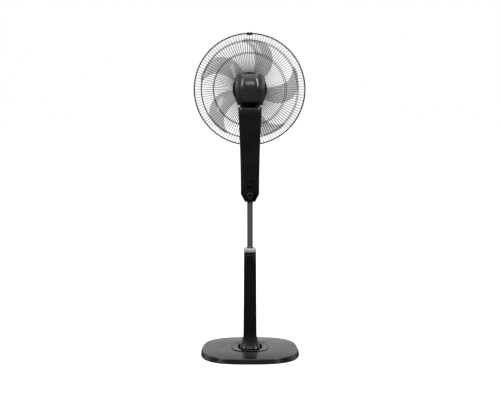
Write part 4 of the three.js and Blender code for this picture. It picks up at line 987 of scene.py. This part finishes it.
class FAN_OT_blades(bpy.types.Operator):
    """The translucent impeller with its swept blades, and the nut that holds it"""

    bl_idname = "fan.blades"
    bl_label = "Blades"

    def edges(self, radius):
        s = sizes("fan_blade")
        share = max(0, (radius - s.hub) / (s.tip - s.hub))

        def corner(reach, degrees):
            inside = min(1, max(0, radius - (s.tip - reach)) / reach)
            return degrees * (1 - math.sqrt(1 - inside**2))

        low = s.low_start + s.low_sweep * share**2 + corner(16 * MM, 12)
        high = s.high_start + s.high_sweep * share**3.6 - corner(8 * MM, 10)
        return low, high

    def blade(self, turned, middle, height):
        """A flat grid is bent into a swept, pitched and bowed blade, then given its thickness."""
        s = sizes("fan_blade")
        bm = bmesh.new()
        bmesh.ops.create_grid(bm, x_segments=30, y_segments=14, size=0.5)
        for v in bm.verts:
            radius = s.hub + (s.tip - s.hub) * math.sin((v.co.x + 0.5) * math.pi / 2)
            low, high = self.edges(radius)
            chord = v.co.y * 2
            angle = math.radians(turned + low + (high - low) * (v.co.y + 0.5))
            place = middle + s.rise / 2 * chord + s.camber * (1 - chord**2)
            v.co = (-radius * math.cos(angle), place, height + radius * math.sin(angle))
        bmesh.ops.recalc_face_normals(bm, faces=bm.faces)
        return thicken(bm, s.thickness)

    def execute(self, context):
        s = sizes("fan_blade")
        height = axis_height()
        nut_low, nut_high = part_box("spinner_nut")
        front = nut_high.y + GAP
        rear = front + 54 * MM
        bore = 4.3 * MM
        edge = 8 * MM
        wall = 2.5 * MM
        outer = [
            (s.hub - edge * (1 - math.sin(t)), front + edge * (1 - math.cos(t)))
            for t in [math.pi / 2 * i / 6 for i in range(7)]
        ]
        inner = [
            (r - wall * (r - s.hub + edge) / edge, p + wall * (front + edge - p) / edge) for r, p in outer
        ]
        boss, boss_rear = 11 * MM, front + 30 * MM
        profile = [(bore, front), *outer, (s.hub, rear - 0.6 * MM), (s.hub - 0.6 * MM, rear)]
        profile += [(s.hub - wall, rear), *reversed(inner)]
        profile += [(boss, front + wall), (boss, boss_rear), (bore, boss_rear)]
        centre = (0, 0, height)
        parts = [lathe(profile, Y, centre, 128, True)]
        middle = front + 26 * MM
        for i in range(s.blades):
            parts.append(self.blade(s.first + 360 * i / s.blades, middle, height))
        piece(merged(*parts), "impeller")

        radius, long = nut_high.x, nut_high.y - nut_low.y
        nose = [
            (radius * math.cos(t), nut_low.y + long * (0.6 - 0.6 * math.sin(t)))
            for t in [math.pi / 2 * i / 8 for i in range(8)]
        ]
        end = nut_low.y + long * 0.65
        profile = [(bore, nut_high.y), (radius, nut_high.y), *nose, (0, nut_low.y), (0, end), (bore, end)]
        piece(lathe(profile, Y, centre, 64, True), "spinner_nut")
        return {"FINISHED"}


class FAN_OT_finishes(bpy.types.Operator):
    """Gives every piece that is kept from the frame the finish of its slot"""

    bl_idname = "fan.finishes"
    bl_label = "Finishes"

    def execute(self, context):
        for node, made in frame["nodes"].items():
            for slot in made.material_slots:
                slot.material = material_for(SLOT_OF[node])
        return {"FINISHED"}


class FAN_OT_stage(bpy.types.Operator):
    """The pale floor, the soft lights and the camera"""

    bl_idname = "fan.stage"
    bl_label = "Stage"

    def light(self, name, place, target, width, height, power):
        data = bpy.data.lights.new(name, "AREA")
        data.shape = "RECTANGLE"
        data.size, data.size_y = width, height
        data.energy = power
        made = bpy.data.objects.new(name, data)
        made.location = place
        made.rotation_euler = (Vector(target) - Vector(place)).to_track_quat("-Z", "Y").to_euler()
        bpy.context.scene.collection.objects.link(made)

    def ceiling(self):
        """A broad, even light from above, which keeps the whole floor pale."""
        data = bpy.data.lights.new("ceiling", "SUN")
        data.energy = 1.75
        data.angle = math.radians(70)
        bpy.context.scene.collection.objects.link(bpy.data.objects.new("ceiling", data))

    def world(self):
        """A room that is bright beyond the fan, dim on its rear's side and overhead, and dark low down."""
        world = bpy.data.worlds.new("room")
        world.use_nodes = True
        bpy.context.scene.world = world
        tree = world.node_tree
        tree.nodes.clear()
        place = add(tree, "ShaderNodeTexCoord")
        split = add(tree, "ShaderNodeSeparateXYZ", Vector=place.outputs["Generated"])
        across = ramp(tree, split.outputs["Y"], -0.45, 0.25, 1.0, 0.1)
        upward = ramp(tree, split.outputs["Z"], 0.0, 0.08, 0.09, 1.0)
        overhead = ramp(tree, split.outputs["Z"], 0.08, 0.35, 1.0, 0.6)
        rays = add(tree, "ShaderNodeLightPath")
        height = combined(tree, "MULTIPLY", upward, overhead)
        both = combined(tree, "MULTIPLY", across, height)
        seen = combined(tree, "MAXIMUM", both, rays.outputs["Is Camera Ray"])
        glow = add(tree, "ShaderNodeBackground", {"Color": (1, 1, 1, 1)}, Strength=seen)
        add(tree, "ShaderNodeOutputWorld", Surface=glow.outputs["Background"])

    def execute(self, context):
        scene = bpy.context.scene
        scene.view_settings.view_transform = "Standard"
        bm = bmesh.new()
        bmesh.ops.create_grid(bm, x_segments=1, y_segments=1, size=30)
        floor = loose_object(bm, "floor")
        paper = bpy.data.materials.new("floor_paper")
        paper.use_nodes = True
        shader = paper.node_tree.nodes["Principled BSDF"]
        shader.inputs["Base Color"].default_value = linear("#fbfbfb")
        shader.inputs["Roughness"].default_value = 0.9
        shader.inputs["Specular IOR Level"].default_value = 0.0
        shader.inputs["Emission Color"].default_value = linear("#ffffff")
        shader.inputs["Emission Strength"].default_value = 0.35
        floor.data.materials.append(paper)
        # the paper lights nothing, so the dark mouldings keep their depth
        floor.visible_glossy = False
        floor.visible_diffuse = False
        self.world()
        self.ceiling()
        self.light("key", (0, 3.2, 2.9), (0, 0, 0.5), 1.8, 0.9, 30)
        self.light("strip_left", (2.7, 2.0, 3.0), (0, 0, 1.0), 0.6, 2.4, 75)
        self.light("strip_right", (-2.2, 2.0, 3.0), (0, 0, 1.0), 0.5, 2.4, 75)

        data = bpy.data.cameras.new("camera")
        data.sensor_width = 36
        data.lens = 75.74
        camera = bpy.data.objects.new("camera", data)
        camera.location = (0.05, 4.147, 1.032)
        pitch = math.radians(5.723)
        level = Vector((-0.05, -4.147, 0)).normalized()
        aim = level * math.cos(pitch) - Z * math.sin(pitch)
        camera.rotation_euler = aim.to_track_quat("-Z", "Y").to_euler()
        scene.collection.objects.link(camera)
        scene.camera = camera
        return {"FINISHED"}


OPERATORS = [
    FAN_OT_stage,
    FAN_OT_base,
    FAN_OT_column,
    FAN_OT_pole,
    FAN_OT_mast,
    FAN_OT_panel,
    FAN_OT_neck,
    FAN_OT_housing,
    FAN_OT_guards,
    FAN_OT_blades,
    FAN_OT_finishes,
]


class FAN_PT_panel(bpy.types.Panel):
    """Lists the fan's pieces in the order in which they are made"""

    bl_idname = "FAN_PT_panel"
    bl_label = "Pedestal Fan"
    bl_space_type = "VIEW_3D"
    bl_region_type = "UI"
    bl_category = "Fan"

    def draw(self, context):
        for operator in OPERATORS:
            self.layout.operator(operator.bl_idname)


def register():
    for kind in [*GROUPS.values(), *OPERATORS, FAN_PT_panel]:
        bpy.utils.register_class(kind)
    for name, group in GROUPS.items():
        setattr(bpy.types.Scene, name, PointerProperty(type=group))


def unregister():
    for name in GROUPS:
        delattr(bpy.types.Scene, name)
    for kind in reversed([*GROUPS.values(), *OPERATORS, FAN_PT_panel]):
        bpy.utils.unregister_class(kind)


def main():
    register()
    for operator in OPERATORS:
        area, name = operator.bl_idname.split(".")
        getattr(getattr(bpy.ops, area), name)()


if __name__ == "__main__":
    main()
